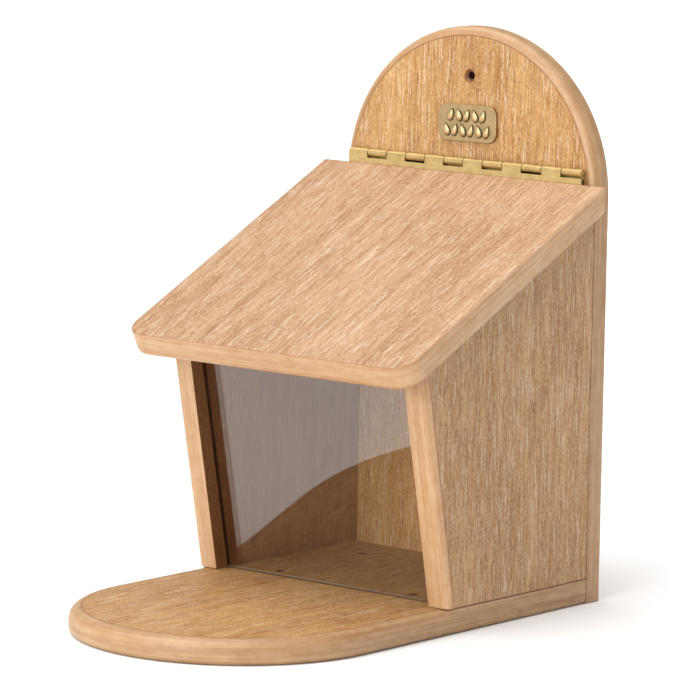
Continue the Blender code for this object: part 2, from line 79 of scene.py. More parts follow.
SCREW_BREAK = 0.1 * MM  # the same on the screws
PANE_BREAK = 0.3 * MM  # the same on the pane
PLATE_THICKNESS = 1.5 * MM
PLATE_CORNER = 5.5 * MM
PLATE_BREAK = 0.35 * MM
SEED_SPACING = 5.2 * MM
SEED_LENGTH = 7.2 * MM
SEED_ROWS = ((0, 5, 3.9 * MM), (1, 6, -3.9 * MM))  # row, seeds in it, height above the middle
SEED_LEAN = 20  # degrees, left and right in turn
GROUND_RUB = 0.55  # how far the plate's ground is rubbed back, where 0 is black and 1 bright
PRONG_RUB = 0.3
PRONG_RADIUS = 1.0 * MM
PRONG_FROM_MIDDLE = 11 * MM
PRONG_OVERLAP = 0.2 * MM
FLOOR_HALF = 30.0  # metres
FLOOR_DROP = 0.1 * MM  # floor below the underside, so that the two faces don't flicker
HORIZON_BAND = (0.08, 0.3)  # rise of a direction where the white horizon starts and ends to dim
TOP_SOFTBOX = ((-0.15, -0.25, 1.0), 70)  # direction towards the light, and its width in degrees
FRONT_SOFTBOX = ((0.02, -1.0, 0.2), 42)
CAMERA_AZIMUTH = 39.67  # degrees from straight in front, to the right
CAMERA_ELEVATION = 8.19  # degrees
CAMERA_ROLL = 0.97  # degrees
CAMERA_AIM = (0.0160, 0.0115, 0.13545)
CAMERA_DISTANCE = 2.28873
CAMERA_LENS = 236.39  # millimetres
CAMERA_SENSOR = 36.0  # millimetres
SKY_LIGHT = 0.45  # surroundings overhead, where the horizon is 1
TOP_LIGHT = 1.03  # light that the upper softbox throws on a face turned to it
FRONT_LIGHT = 0.75  # the same for the softbox in front of the window


def linear_rgb(code):
    """The linear colour of an sRGB hex code."""
    channels = [int(code[i : i + 2], 16) / 255 for i in (1, 3, 5)]
    return tuple(c / 12.92 if c <= 0.04045 else ((c + 0.055) / 1.055) ** 2.4 for c in channels)


def length_prop(name, description, default):
    return bpy.props.FloatProperty(
        name=name,
        description=description,
        default=default,
        min=0.0,
        unit="LENGTH",
        subtype="DISTANCE",
        precision=5,
    )


def angle_prop(name, description, degrees):
    return bpy.props.FloatProperty(
        name=name, description=description, default=math.radians(degrees), unit="ROTATION", subtype="ANGLE"
    )


def colour_prop(name, description, code):
    return bpy.props.FloatVectorProperty(
        name=name,
        description=description,
        default=linear_rgb(code),
        size=3,
        min=0.0,
        max=1.0,
        subtype="COLOR",
    )


# --------------------------------------------------------------------------------------------------
# Sizes and colours that a user may change


class FeederBoardSizes(bpy.types.PropertyGroup):
    tray_round: length_prop("Tray round", "Round along the top of the tray", 6.35 * MM)
    under_round: length_prop("Under round", "Round under the base and behind the arch", 3.0 * MM)
    front_round: length_prop(
        "Front round", "Round on the arch and on the side panels' front edges", 4.5 * MM
    )
    lid_round: length_prop("Lid round", "Round under the lid's edges", 2.4 * MM)
    lid_corner: length_prop("Lid corner", "Radius of the lid's two front corners", 12.7 * MM)
    arris_break: length_prop("Arris break", "Tiny flat left by sanding on each sharp edge", 0.25 * MM)
    lid_slope: angle_prop("Lid slope", "Fall of the lid towards the window", 26.2)
    front_lean: angle_prop("Front lean", "Forward lean of the side panels' front edges", 11.2)
    groove_setback: length_prop("Groove setback", "Front edge of a side panel to its groove", 8.5 * MM)
    groove_width: length_prop("Groove width", "Width of the window's groove", 2.4 * MM)
    groove_depth: length_prop("Groove depth", "Depth of the window's groove", 4.0 * MM)
    hang_bore: length_prop("Hanging hole", "Radius of the hanging hole", 2.0 * MM)
    hang_sink: length_prop("Hanging sink", "Radius of the hanging hole's countersink", 3.5 * MM)
    hang_from_top: length_prop("Hole from top", "Hanging hole below the top of the arch", 25.4 * MM)
    drain_bore: length_prop("Drain hole", "Radius of a drain hole", 2.4 * MM)
    drain_spacing: length_prop("Drain spacing", "Drain holes on either side of the middle", 88.0 * MM)
    drain_from_back: length_prop(
        "Rear drains", "Rear pair of drain holes in front of the back panel", 26.5 * MM
    )
    drain_from_front: length_prop("Front drains", "Front pair behind the foot of the side panels", 20.0 * MM)


class FeederHingeSizes(bpy.types.PropertyGroup):
    pitch: length_prop("Knuckle pitch", "Distance from one knuckle to the next", 12.7 * MM)
    sheet: length_prop("Sheet", "Thickness of the rolled sheet", 1.0 * MM)
    barrel: length_prop("Barrel radius", "Outside radius of a knuckle", 2.15 * MM)
    gap: length_prop("Knuckle gap", "Play between neighbouring knuckles", 0.5 * MM)
    notch: length_prop("Notch clearance", "Room between a notch and the other leaf's knuckle", 0.5 * MM)
    screw_from_edge: length_prop("Screw from edge", "Leaf screws above the leaf's long edge", 3.0 * MM)


class FeederColours(bpy.types.PropertyGroup):
    golden_light: colour_prop("Golden batch, light", "Raised streaks of the back panel and base", "#BE945B")
    golden_dark: colour_prop("Golden batch, dark", "Hollows of the back panel and base", "#855521")
    # The lid's paler, greyer tone stands in for the sheen that it catches from the bright surroundings:
    # painted sheen.
    lid_painted_sheen_light: colour_prop("Rosy batch, light", "Raised streaks of the lid", "#B69370")
    lid_painted_sheen_dark: colour_prop("Rosy batch, dark", "Hollows of the lid", "#865C35")
    tan_light: colour_prop("Tan batch, light", "Raised streaks of the side panels", "#BE976B")
    tan_dark: colour_prop("Tan batch, dark", "Hollows of the side panels", "#875B2E")
    # The deep tone is painted shade: darker, redder faces inside the box and in the countersinks.
    deep_light: colour_prop(
        "Deep tone, light", "Raised streaks inside the box and in countersinks", "#8E613B"
    )
    deep_dark: colour_prop("Deep tone, dark", "Hollows inside the box and in countersinks", "#623915")
    fleck: colour_prop("Fleck", "Pale fibres in the brushed faces", "#C9B39C")
    pale_edge_light: colour_prop("Pale edge, light", "Milled edges of the lid and side panels", "#C2A07B")
    pale_edge_dark: colour_prop("Pale edge, dark", "Streaks in those edges", "#AC7F54")
    gold_edge_light: colour_prop("Golden edge, light", "Milled edges of the back panel and base", "#B3906A")
    gold_edge_dark: colour_prop("Golden edge, dark", "Streaks in those edges", "#98714A")
    burnish: colour_prop("Burnished arris", "Line left where the cutter met the face", "#7E4822")
    # Near black: painted shade deep in the grooves and drilled holes.
    kerf_painted_shade: colour_prop("Kerf", "Inside the grooves and drilled holes", "#3A2213")
    brass: colour_prop("Plated brass", "Hinge leaves, knuckles and their screws", "#C2A770")
    brass_tarnish: colour_prop("Brass tarnish", "Dull patches on the hinge", "#AE9460")
    antique_high: colour_prop("Antique brass, rubbed", "Ground and raised work of the plate", "#C6AA7C")
    antique_low: colour_prop(
        "Antique brass, dark", "Patina left in the corners of the plate's relief", "#2E2615"
    )
    steel: colour_prop("Stainless steel", "Screws in the boards", "#B9B6AF")
    backdrop: colour_prop("Backdrop", "Plain floor", "#EDEDED")


# --------------------------------------------------------------------------------------------------
# Materials


def add_node(tree, kind, links=None, **settings):
    """Adds one node with its settings, and sets or links its inputs by name or number."""
    node = tree.nodes.new(kind)
    for key, value in settings.items():
        setattr(node, key, value)
    for key, value in (links or {}).items():
        socket = node.inputs[key]
        if isinstance(value, bpy.types.NodeSocket):
            tree.links.new(value, socket)
        else:
            socket.default_value = value
    return node


def new_material(name, **constants):
    """A material with one Principled shader, whose constants are set on its own sockets."""
    material = bpy.data.materials.new(name)
    material.use_nodes = True
    shader = material.node_tree.nodes["Principled BSDF"]
    for key, value in constants.items():
        socket = shader.inputs[key.replace("_", " ").title().replace("Ior", "IOR")]
        socket.default_value = (*value, 1.0) if socket.type == "RGBA" else value
    return material, material.node_tree, shader


def streaks(tree, where, size, detail=2.0, roughness=0.5):
    """Noise stretched to a streak of the given size in metres: across, along and through."""
    scaled = add_node(tree, "ShaderNodeMapping", {"Vector": where, "Scale": tuple(1 / s for s in size)})
    settings = {"Vector": scaled.outputs[0], "Scale": 1.0, "Detail": detail, "Roughness": roughness}
    return add_node(tree, "ShaderNodeTexNoise", settings).outputs["Fac"]


def weighted_sum(tree, parts):
    """The sum of sockets, each times its weight."""
    total = 0.0
    for socket, weight in parts:
        links = {0: socket, 1: weight, 2: total}
        total = add_node(tree, "ShaderNodeMath", links, operation="MULTIPLY_ADD").outputs[0]
    return total


def brushed_face_material(colours, batch):
    """Plastic lumber with a wire-brushed wood grain: matt, with fine pale fibres along the board."""
    material, tree, shader = new_material("brushed_lumber_" + batch, ior=1.49)
    where = add_node(tree, "ShaderNodeAttribute", attribute_name=GRAIN).outputs["Vector"]
    rim = add_node(tree, "ShaderNodeAttribute", attribute_name=ARRIS).outputs["Fac"]
    blotch = streaks(tree, where, (30 * MM, 70 * MM, 40 * MM))
    band = streaks(tree, where, (4.5 * MM, 120 * MM, 40 * MM), detail=3.0)
    stroke = streaks(tree, where, (0.9 * MM, 13 * MM, 5 * MM), detail=2.0, roughness=0.6)
    pore = streaks(tree, where, (0.8 * MM, 1.5 * MM, 5 * MM), detail=2.0, roughness=0.7)
    parts = [(blotch, 0.45), (band, 0.7), (stroke, 1.3), (pore, 1.5)]
    tone = add_node(
        tree, "ShaderNodeMapRange", {"Value": weighted_sum(tree, parts), "From Min": 1.55, "From Max": 2.4}
    ).outputs[0]
    colour = add_node(
        tree,
        "ShaderNodeMix",
        {
            0: tone,
            6: (*getattr(colours, batch + "_dark"), 1.0),
            7: (*getattr(colours, batch + "_light"), 1.0),
        },
        data_type="RGBA",
    ).outputs[2]
    # Torn fibres show as pale strokes about half a millimetre wide.
    fibre = streaks(tree, where, (0.75 * MM, 14 * MM, 5 * MM), detail=1.0)
    fibre_here = add_node(
        tree,
        "ShaderNodeMapRange",
        {
            "Value": weighted_sum(tree, [(fibre, 1.0), (pore, 0.35)]),
            "From Min": 0.74,
            "From Max": 0.9,
            "To Min": 0.0,
            "To Max": 0.6,
        },
    ).outputs[0]
    # The deep batch, painted shade, takes its own lighter tone for the fibres instead of the pale fleck.
    fleck = getattr(colours, batch + "_light") if batch == "deep" else colours.fleck
    colour = add_node(
        tree, "ShaderNodeMix", {0: fibre_here, 6: colour, 7: (*fleck, 1.0)}, data_type="RGBA"
    ).outputs[2]
    # The router burnishes the last half millimetre beside a milled edge, unevenly.
    burn = add_node(
        tree,
        "ShaderNodeMapRange",
        {
            "Value": weighted_sum(tree, [(rim, 1.0), (pore, 0.6)]),
            "From Min": 0.62,
            "From Max": 1.1,
            "To Min": 0.0,
            "To Max": 0.8,
        },
    ).outputs[0]
    colour = add_node(
        tree, "ShaderNodeMix", {0: burn, 6: colour, 7: (*colours.burnish, 1.0)}, data_type="RGBA"
    ).outputs[2]
    tree.links.new(colour, shader.inputs["Base Color"])
    tree.links.new(
        add_node(
            tree,
            "ShaderNodeMapRange",
            {"Value": stroke, "From Min": 0.3, "From Max": 0.7, "To Min": 0.62, "To Max": 0.48},
        ).outputs[0],
        shader.inputs["Roughness"],
    )
    relief = weighted_sum(tree, [(stroke, 1.0), (pore, 0.8)])
    bump = add_node(tree, "ShaderNodeBump", {"Height": relief, "Strength": 0.6, "Distance": 0.15 * MM})
    tree.links.new(bump.outputs[0], shader.inputs["Normal"])
    return material


def milled_edge_material(colours, batch):
    """The same lumber where a cutter has rounded it: smooth, paler, in thin bands along the faces."""
    material, tree, shader = new_material("milled_lumber_edge_" + batch, ior=1.49)
    where = add_node(tree, "ShaderNodeAttribute", attribute_name=GRAIN).outputs["Vector"]
    rim = add_node(tree, "ShaderNodeAttribute", attribute_name=ARRIS).outputs["Fac"]
    band = streaks(tree, where, (90 * MM, 90 * MM, 1.6 * MM), detail=3.0, roughness=0.65)
    smear = streaks(tree, where, (9 * MM, 9 * MM, 4 * MM), detail=2.0)
    speck = streaks(tree, where, (1.1 * MM, 1.1 * MM, 0.8 * MM), detail=1.0)
    tone = add_node(
        tree,
        "ShaderNodeMapRange",
        {
            "Value": weighted_sum(tree, [(band, 1.5), (smear, 0.7), (speck, 0.35)]),
            "From Min": 0.95,
            "From Max": 1.6,
        },
    ).outputs[0]
    colour = add_node(
        tree,
        "ShaderNodeMix",
        {
            0: tone,
            6: (*getattr(colours, batch + "_edge_dark"), 1.0),
            7: (*getattr(colours, batch + "_edge_light"), 1.0),
        },
        data_type="RGBA",
    ).outputs[2]
    burn = add_node(
        tree,
        "ShaderNodeMapRange",
        {
            "Value": weighted_sum(tree, [(rim, 1.0), (speck, 0.6)]),
            "From Min": 0.75,
            "From Max": 1.25,
            "To Min": 0.0,
            "To Max": 0.75,
        },
    ).outputs[0]
    colour = add_node(
        tree, "ShaderNodeMix", {0: burn, 6: colour, 7: (*colours.burnish, 1.0)}, data_type="RGBA"
    ).outputs[2]
    tree.links.new(colour, shader.inputs["Base Color"])
    tree.links.new(
        add_node(
            tree,
            "ShaderNodeMapRange",
            {"Value": smear, "From Min": 0.3, "From Max": 0.7, "To Min": 0.5, "To Max": 0.38},
        ).outputs[0],
        shader.inputs["Roughness"],
    )
    relief = weighted_sum(tree, [(band, 0.6), (speck, 0.3)])
    bump = add_node(tree, "ShaderNodeBump", {"Height": relief, "Strength": 0.3, "Distance": 0.1 * MM})
    tree.links.new(bump.outputs[0], shader.inputs["Normal"])
    return material


def kerf_material(colours):
    """Sawn and drilled lumber: rough, and painted near black as the shade deep inside narrow grooves and
    holes.
    """
    material, tree, shader = new_material("sawn_and_drilled_lumber_painted_shade", roughness=0.8, ior=1.49)
    where = add_node(tree, "ShaderNodeAttribute", attribute_name=GRAIN).outputs["Vector"]
    scratch = streaks(tree, where, (0.6 * MM, 0.6 * MM, 0.4 * MM), detail=2.0)
    dim = tuple(0.5 * c for c in colours.kerf_painted_shade)
    tree.links.new(
        add_node(
            tree, "ShaderNodeMix", {0: scratch, 6: (*dim, 1.0), 7: (*colours.kerf_painted_shade, 1.0)}, data_type="RGBA"
        ).outputs[2],
        shader.inputs["Base Color"],
    )
    bump = add_node(tree, "ShaderNodeBump", {"Height": scratch, "Strength": 0.5, "Distance": 0.1 * MM})
    tree.links.new(bump.outputs[0], shader.inputs["Normal"])
    return material


def plated_brass_material(colours):
    """Brass-plated steel sheet: a dull khaki metal with soft stains and rolling marks."""
    material, tree, shader = new_material("brass_plated_steel", metallic=0.85)
    where = add_node(tree, "ShaderNodeTexCoord").outputs["Object"]
    stain = streaks(tree, where, (6 * MM, 6 * MM, 6 * MM), detail=3.0)
    mark = streaks(tree, where, (5 * MM, 0.5 * MM, 0.5 * MM))
    tone = add_node(
        tree,
        "ShaderNodeMapRange",
        {"Value": weighted_sum(tree, [(stain, 1.0), (mark, 0.45)]), "From Min": 0.5, "From Max": 0.95},
    ).outputs[0]
    colour = add_node(
        tree,
        "ShaderNodeMix",
        {0: tone, 6: (*colours.brass_tarnish, 1.0), 7: (*colours.brass, 1.0)},
        data_type="RGBA",
    ).outputs[2]
    tree.links.new(colour, shader.inputs["Base Color"])
    tree.links.new(
        add_node(
            tree,
            "ShaderNodeMapRange",
            {"Value": mark, "From Min": 0.3, "From Max": 0.7, "To Min": 0.5, "To Max": 0.38},
        ).outputs[0],
        shader.inputs["Roughness"],
    )
    bump = add_node(tree, "ShaderNodeBump", {"Height": mark, "Strength": 0.15, "Distance": 0.05 * MM})
    tree.links.new(bump.outputs[0], shader.inputs["Normal"])
    return material


def antique_brass_material(colours):
    """Cast brass, blackened and rubbed back: bright raised work, dull ground, dark round each foot."""
    material, tree, shader = new_material("antique_brass", metallic=0.9)
    where = add_node(tree, "ShaderNodeTexCoord").outputs["Object"]
    height = add_node(tree, "ShaderNodeAttribute", attribute_name="raised").outputs["Fac"]
    grit = streaks(tree, where, (0.7 * MM, 0.7 * MM, 0.7 * MM), detail=3.0)
    cloud = streaks(tree, where, (5 * MM, 5 * MM, 5 * MM))
    worn = add_node(
        tree,
        "ShaderNodeMapRange",
        {
            "Value": weighted_sum(tree, [(height, 1.0), (grit, 0.45), (cloud, 0.3)]),
            "From Min": 0.35,
            "From Max": 1.25,
        },
    ).outputs[0]
    colour = add_node(
        tree,
        "ShaderNodeMix",
        {0: worn, 6: (*colours.antique_low, 1.0), 7: (*colours.antique_high, 1.0)},
        data_type="RGBA",
    ).outputs[2]
    tree.links.new(colour, shader.inputs["Base Color"])
    tree.links.new(
        add_node(
            tree,
            "ShaderNodeMapRange",
            {"Value": worn, "From Min": 0.0, "From Max": 1.0, "To Min": 0.62, "To Max": 0.36},
        ).outputs[0],
        shader.inputs["Roughness"],
    )
    bump = add_node(tree, "ShaderNodeBump", {"Height": grit, "Strength": 0.35, "Distance": 0.08 * MM})
    tree.links.new(bump.outputs[0], shader.inputs["Normal"])
    return material


def stainless_material(colours):
    """Plain stainless screws: turned, with faint rings and handling marks."""
    material, tree, shader = new_material("stainless_steel", metallic=1.0)
    where = add_node(tree, "ShaderNodeTexCoord").outputs["Object"]
    mark = streaks(tree, where, (0.9 * MM, 0.4 * MM, 0.4 * MM), detail=2.0)
    dim = tuple(0.55 * c for c in colours.steel)
    tree.links.new(
        add_node(
            tree, "ShaderNodeMix", {0: mark, 6: (*dim, 1.0), 7: (*colours.steel, 1.0)}, data_type="RGBA"
        ).outputs[2],
        shader.inputs["Base Color"],
    )
    tree.links.new(
        add_node(
            tree,
            "ShaderNodeMapRange",
            {"Value": mark, "From Min": 0.3, "From Max": 0.7, "To Min": 0.42, "To Max": 0.26},
        ).outputs[0],
        shader.inputs["Roughness"],
    )
    return material


def acrylic_material():
    """Clear acrylic sheet, polished. It is drawn as a thin mirror, so that pale surroundings show on it."""
    material, _, _ = new_material(
        "clear_acrylic_sheet", base_color=(0.97, 0.87, 0.81), metallic=1.0, roughness=0.02, alpha=0.095
    )
    return material


def acrylic_edge_material():
    """The sheet's sawn edges, which look dark because they pass light along the sheet."""
    material, tree, shader = new_material("sawn_acrylic_edge", roughness=0.45)
    where = add_node(tree, "ShaderNodeTexCoord").outputs["Object"]
    saw = streaks(tree, where, (0.4 * MM, 3 * MM, 3 * MM), detail=1.0)
    dark, light = linear_rgb("#5A4636"), linear_rgb("#8A7460")
    tree.links.new(
        add_node(
            tree, "ShaderNodeMix", {0: saw, 6: (*dark, 1.0), 7: (*light, 1.0)}, data_type="RGBA"
        ).outputs[2],
        shader.inputs["Base Color"],
    )
    return material


def backdrop_material(colours):
    """Matt pale paper, as on a studio table."""
    material, _, _ = new_material(
        "matt_backdrop",
        base_color=tuple(colours.backdrop),
        roughness=0.95,
        specular_ior_level=0.1,
    )
    return material


# --------------------------------------------------------------------------------------------------
# Mesh helpers


def new_piece(name, mesh):
    piece = bpy.data.objects.new(name, mesh)
    bpy.context.scene.collection.objects.link(piece)
    return piece


def mesh_from(work, name):
    mesh = bpy.data.meshes.new(name)
    work.to_mesh(mesh)
    work.free()
    return mesh


def realise(piece):
    """Turns the piece's modifiers into a plain mesh."""
    graph = bpy.context.evaluated_depsgraph_get()
    mesh = bpy.data.meshes.new_from_object(
        piece.evaluated_get(graph), preserve_all_data_layers=True, depsgraph=graph
    )
    piece.modifiers.clear()
    piece.data = mesh
    return piece


def extruded(points, thickness):
    """A flat outline in XY with a thickness from Z 0 up, as a bmesh."""
    work = bmesh.new()
    face = work.faces.new([work.verts.new((x, y, 0.0)) for x, y in points])
    grown = bmesh.ops.extrude_face_region(work, geom=[face], use_keep_orig=True)
    top = [g for g in grown["geom"] if isinstance(g, bmesh.types.BMVert)]
    bmesh.ops.translate(work, vec=(0.0, 0.0, thickness), verts=top)
    bmesh.ops.recalc_face_normals(work, faces=work.faces)
    return work


def turned(profile, steps=48):
    """A closed solid turned about Z from a half outline of (radius, height) points, from the top down."""
    work = bmesh.new()
    points = [work.verts.new((radius, 0.0, height)) for radius, height in profile]
    edges = [work.edges.new(pair) for pair in zip(points, points[1:])]
    bmesh.ops.spin(
        work,
        geom=points + edges,
        cent=(0, 0, 0),
        axis=(0, 0, 1),
        angle=math.tau,
        steps=steps,
        use_merge=True,
    )
    bmesh.ops.remove_doubles(work, verts=work.verts, dist=1e-7)
    bmesh.ops.recalc_face_normals(work, faces=work.faces)
    return work


def cut_with(piece, work, name):
    """Cuts a bmesh out of the piece at once. The cut faces take the finish given to the cutter's faces."""
    tool = new_piece(name, mesh_from(work, name))
    for material in piece.data.materials:
        tool.data.materials.append(material)
    boolean = piece.modifiers.new(name, "BOOLEAN")
    boolean.operation = "DIFFERENCE"
    boolean.solver = "EXACT"
    boolean.object = tool
    realise(piece)
    bpy.data.objects.remove(tool)


def join_cutters(works):
    """One bmesh from several."""
    total = bmesh.new()
    for work in works:
        mesh = mesh_from(work, "part")
        total.from_mesh(mesh)
        bpy.data.meshes.remove(mesh)
    return total


def screw_holes(nodes, axis, level, turn):
    """Cutters for the pockets of lumber screws, at a level along an axis."""
    holes = []
    for node in nodes:
        spot = centre_of(node)
        spot[axis] = level
        holes.append(hole_cutter(*SCREW_HOLE, spot, turn))
    return holes


def hole_cutter(bore, sink, depth, centre, turn, steps=48):
    """The cutter of one hole whose mouth is at centre, with a countersink where sink is wider than bore."""
    profile = [(0.0, OVERCUT), (sink, OVERCUT), (sink, 0.0)]
    if sink > bore:
        profile.append((bore, bore - sink))
    profile += [(bore, -depth), (0.0, -depth)]
    work = turned(profile, steps)
    for face in work.faces:
        widest = max(math.hypot(point.co.x, point.co.y) for point in face.verts)
        # Countersink cones take the deep tone and bores the near-black kerf, both painted shade in the
        # recess.
        face.material_index = PAINTED_SHADE if widest > 1.01 * bore else SHADED_KERF
    bmesh.ops.transform(work, matrix=Matrix.Translation(centre) @ turn, verts=work.verts)
    return work


def weighted_bevel(piece, width, **settings):
    """Rounds the edges, by their stored weight or by their angle."""
    bevel = piece.modifiers.new("round", "BEVEL")
    bevel.width = width
    bevel.use_clamp_overlap = True
    for key, value in settings.items():
        setattr(bevel, key, value)
    return bevel


def even_normals(piece):
    """Keeps big flat faces flat to the light beside the rounds that they run into."""
    piece.data.shade_smooth()
    piece.data.set_sharp_from_angle(angle=math.radians(32))
    weigh = piece.modifiers.new("weighted_normals", "WEIGHTED_NORMAL")
    weigh.keep_sharp = True
    weigh.weight = 80
    realise(piece)


def set_grain(piece, to_board, offset):
    """Stores each point's place across, along and through its board."""
    attribute = piece.data.attributes.new(GRAIN, "FLOAT_VECTOR", "POINT")
    shift = Vector(offset)
    for point, value in zip(piece.data.vertices, attribute.data):
        value.vector = to_board @ point.co + shift


def dress_board(piece, to_board, materials):
    """Gives a board its brushed faces and milled edges, with a narrow strip of face beside every edge."""
    normal = to_board.to_3x3().inverted() @ Vector((0.0, 0.0, 1.0))
    normal.normalize()
    work = bmesh.new()
    work.from_mesh(piece.data)
    bmesh.ops.remove_doubles(work, verts=work.verts, dist=1e-6)
    bmesh.ops.dissolve_degenerate(work, edges=work.edges, dist=1e-6)
    bmesh.ops.recalc_face_normals(work, faces=work.faces)
    layer = work.verts.layers.float.new(ARRIS)
    flat = [f for f in work.faces if abs(f.normal.dot(normal)) > FLAT_LIMIT]
    for face in work.faces:
        face.material_index = MILLED
    for face in flat:
        face.material_index = BRUSHED
    rim = bmesh.ops.inset_region(
        work, faces=flat, thickness=RIM_STRIP, use_boundary=True, use_even_offset=False, use_interpolate=True
    )
    inner = {v for f in flat for v in f.verts}
    for point in {v for f in rim["faces"] for v in f.verts} - inner:
        point[layer] = 1.0
    piece.data.materials.clear()
    for material in materials:
        piece.data.materials.append(material)
    work.to_mesh(piece.data)
    work.free()


# --------------------------------------------------------------------------------------------------
# Geometry Nodes


def new_tree(name, inputs):
    """A geometry tree with named inputs, and its group input and output."""
    tree = bpy.data.node_groups.new(name, "GeometryNodeTree")
    tree.interface.new_socket("Geometry", in_out="INPUT", socket_type="NodeSocketGeometry")
    tree.interface.new_socket("Geometry", in_out="OUTPUT", socket_type="NodeSocketGeometry")
    for label, kind in inputs:
        tree.interface.new_socket(label, in_out="INPUT", socket_type=kind)
    return tree, tree.nodes.new("NodeGroupInput").outputs


def close_tree(tree, geometry, material):
    """Ends a tree: instances made real, then the material."""
    real = add_node(tree, "GeometryNodeRealizeInstances", {"Geometry": geometry})
    painted = add_node(tree, "GeometryNodeSetMaterial", {"Geometry": real.outputs[0], "Material": material})
    out = tree.nodes.new("NodeGroupOutput")
    tree.links.new(painted.outputs[0], out.inputs[0])


def add_tree(piece, tree, values):
    """Puts a tree on a piece, with its inputs set by identifier."""
    modifier = piece.modifiers.new(tree.name, "NODES")
    modifier.node_group = tree
    for item in tree.interface.items_tree:
        if item.in_out == "INPUT" and item.name in values:
            modifier[item.identifier] = values[item.name]
    return modifier


def round_ended_board_tree():
    """A board with one square end and one half-round end, and weights for the edges that are to be rounded.

    It lies in XY with its square end along X at Y 0. The upper rim is rounded only past the stop, and the
    lower rim along the sides and the round end.
    """
    tree, given = new_tree(
        "round_ended_board",
        [
            ("Width", NUMBER),
            ("Straight length", NUMBER),
            ("Thickness", NUMBER),
            ("Stop", NUMBER),
            ("Upper weight", NUMBER),
            ("Lower weight", NUMBER),
            ("Steps", "NodeSocketInt"),
            ("Material", "NodeSocketMaterial"),
        ],
    )
    radius = add_node(tree, "ShaderNodeMath", {0: given["Width"], 1: 0.5}, operation="MULTIPLY").outputs[0]
    arc = add_node(
        tree,
        "GeometryNodeCurveArc",
        {"Resolution": given["Steps"], "Radius": radius, "Start Angle": 0.0, "Sweep Angle": math.pi},
        mode="RADIUS",
    )
    closed = add_node(tree, "GeometryNodeSetSplineCyclic", {"Geometry": arc.outputs[0], "Cyclic": True})
    end = add_node(tree, "GeometryNodeFillCurve", {"Curve": closed.outputs[0]}, mode="NGONS")
    up = add_node(tree, "ShaderNodeCombineXYZ", {"Y": given["Straight length"]}).outputs[0]
    sheet = add_node(tree, "GeometryNodeTransform", {"Geometry": end.outputs[0], "Translation": up})
    place = add_node(tree, "GeometryNodeInputPosition").outputs[0]
    spot = add_node(tree, "ShaderNodeSeparateXYZ", {0: place}).outputs
    near_end = add_node(
        tree,
        "ShaderNodeMath",
        {
            0: spot["Y"],
            1: add_node(
                tree, "ShaderNodeMath", {0: given["Straight length"], 1: 1e-06}, operation="ADD"
            ).outputs[0],
        },
        operation="LESS_THAN",
    ).outputs[0]
    down = add_node(tree, "ShaderNodeCombineXYZ", {"Y": -1.0}).outputs[0]
    to_stop = add_node(
        tree, "ShaderNodeMath", {0: given["Straight length"], 1: given["Stop"]}, operation="SUBTRACT"
    ).outputs[0]
    links = {"Mesh": sheet.outputs[0], "Selection": near_end, "Offset": down, "Offset Scale": to_stop}
    first = add_node(tree, "GeometryNodeExtrudeMesh", links, mode="EDGES")
    links = {
        "Mesh": first.outputs["Mesh"],
        "Selection": first.outputs["Top"],
        "Offset": down,
        "Offset Scale": given["Stop"],
    }
    second = add_node(tree, "GeometryNodeExtrudeMesh", links, mode="EDGES")
    rise = add_node(tree, "ShaderNodeCombineXYZ", {"Z": 1.0}).outputs[0]
    links = {
        "Mesh": second.outputs["Mesh"],
        "Offset": rise,
        "Offset Scale": given["Thickness"],
        "Individual": False,
    }
    raised = add_node(tree, "GeometryNodeExtrudeMesh", links, mode="FACES")
    under = add_node(tree, "GeometryNodeFlipFaces", {"Mesh": second.outputs["Mesh"]})
    both = add_node(tree, "GeometryNodeJoinGeometry")
    tree.links.new(raised.outputs["Mesh"], both.inputs[0])
    tree.links.new(under.outputs[0], both.inputs[0])
    whole = add_node(tree, "GeometryNodeMergeByDistance", {"Geometry": both.outputs[0], "Distance": 1e-6})
    angle = add_node(tree, "GeometryNodeInputMeshEdgeAngle").outputs["Unsigned Angle"]
    sharp = add_node(
        tree, "ShaderNodeMath", {0: angle, 1: math.radians(45)}, operation="GREATER_THAN"
    ).outputs[0]
    high = add_node(
        tree,
        "ShaderNodeMath",
        {
            0: spot["Z"],
            1: add_node(
                tree, "ShaderNodeMath", {0: given["Thickness"], 1: 0.99}, operation="MULTIPLY"
            ).outputs[0],
        },
        operation="GREATER_THAN",
    ).outputs[0]
    low = add_node(
        tree,
        "ShaderNodeMath",
        {
            0: spot["Z"],
            1: add_node(
                tree, "ShaderNodeMath", {0: given["Thickness"], 1: 0.01}, operation="MULTIPLY"
            ).outputs[0],
        },
        operation="LESS_THAN",
    ).outputs[0]
    past_stop = add_node(
        tree, "ShaderNodeMath", {0: spot["Y"], 1: given["Stop"]}, operation="GREATER_THAN"
    ).outputs[0]
    off_end = add_node(tree, "ShaderNodeMath", {0: spot["Y"], 1: 1e-06}, operation="GREATER_THAN").outputs[0]
    upper = add_node(
        tree,
        "ShaderNodeMath",
        {
            0: add_node(tree, "ShaderNodeMath", {0: high, 1: past_stop}, operation="MULTIPLY").outputs[0],
            1: given["Upper weight"],
        },
        operation="MULTIPLY",
    ).outputs[0]
    lower = add_node(
        tree,
        "ShaderNodeMath",
        {
            0: add_node(tree, "ShaderNodeMath", {0: low, 1: off_end}, operation="MULTIPLY").outputs[0],
            1: given["Lower weight"],
        },
        operation="MULTIPLY",
    ).outputs[0]
    weight = add_node(
        tree,
        "ShaderNodeMath",
        {0: sharp, 1: add_node(tree, "ShaderNodeMath", {0: upper, 1: lower}, operation="ADD").outputs[0]},
        operation="MULTIPLY",
    ).outputs[0]
    links = {"Geometry": whole.outputs[0], "Name": "bevel_weight_edge", "Value": weight}
    stored = add_node(tree, "GeometryNodeStoreNamedAttribute", links, data_type="FLOAT", domain="EDGE")
    close_tree(tree, stored.outputs[0], given["Material"])
    return tree


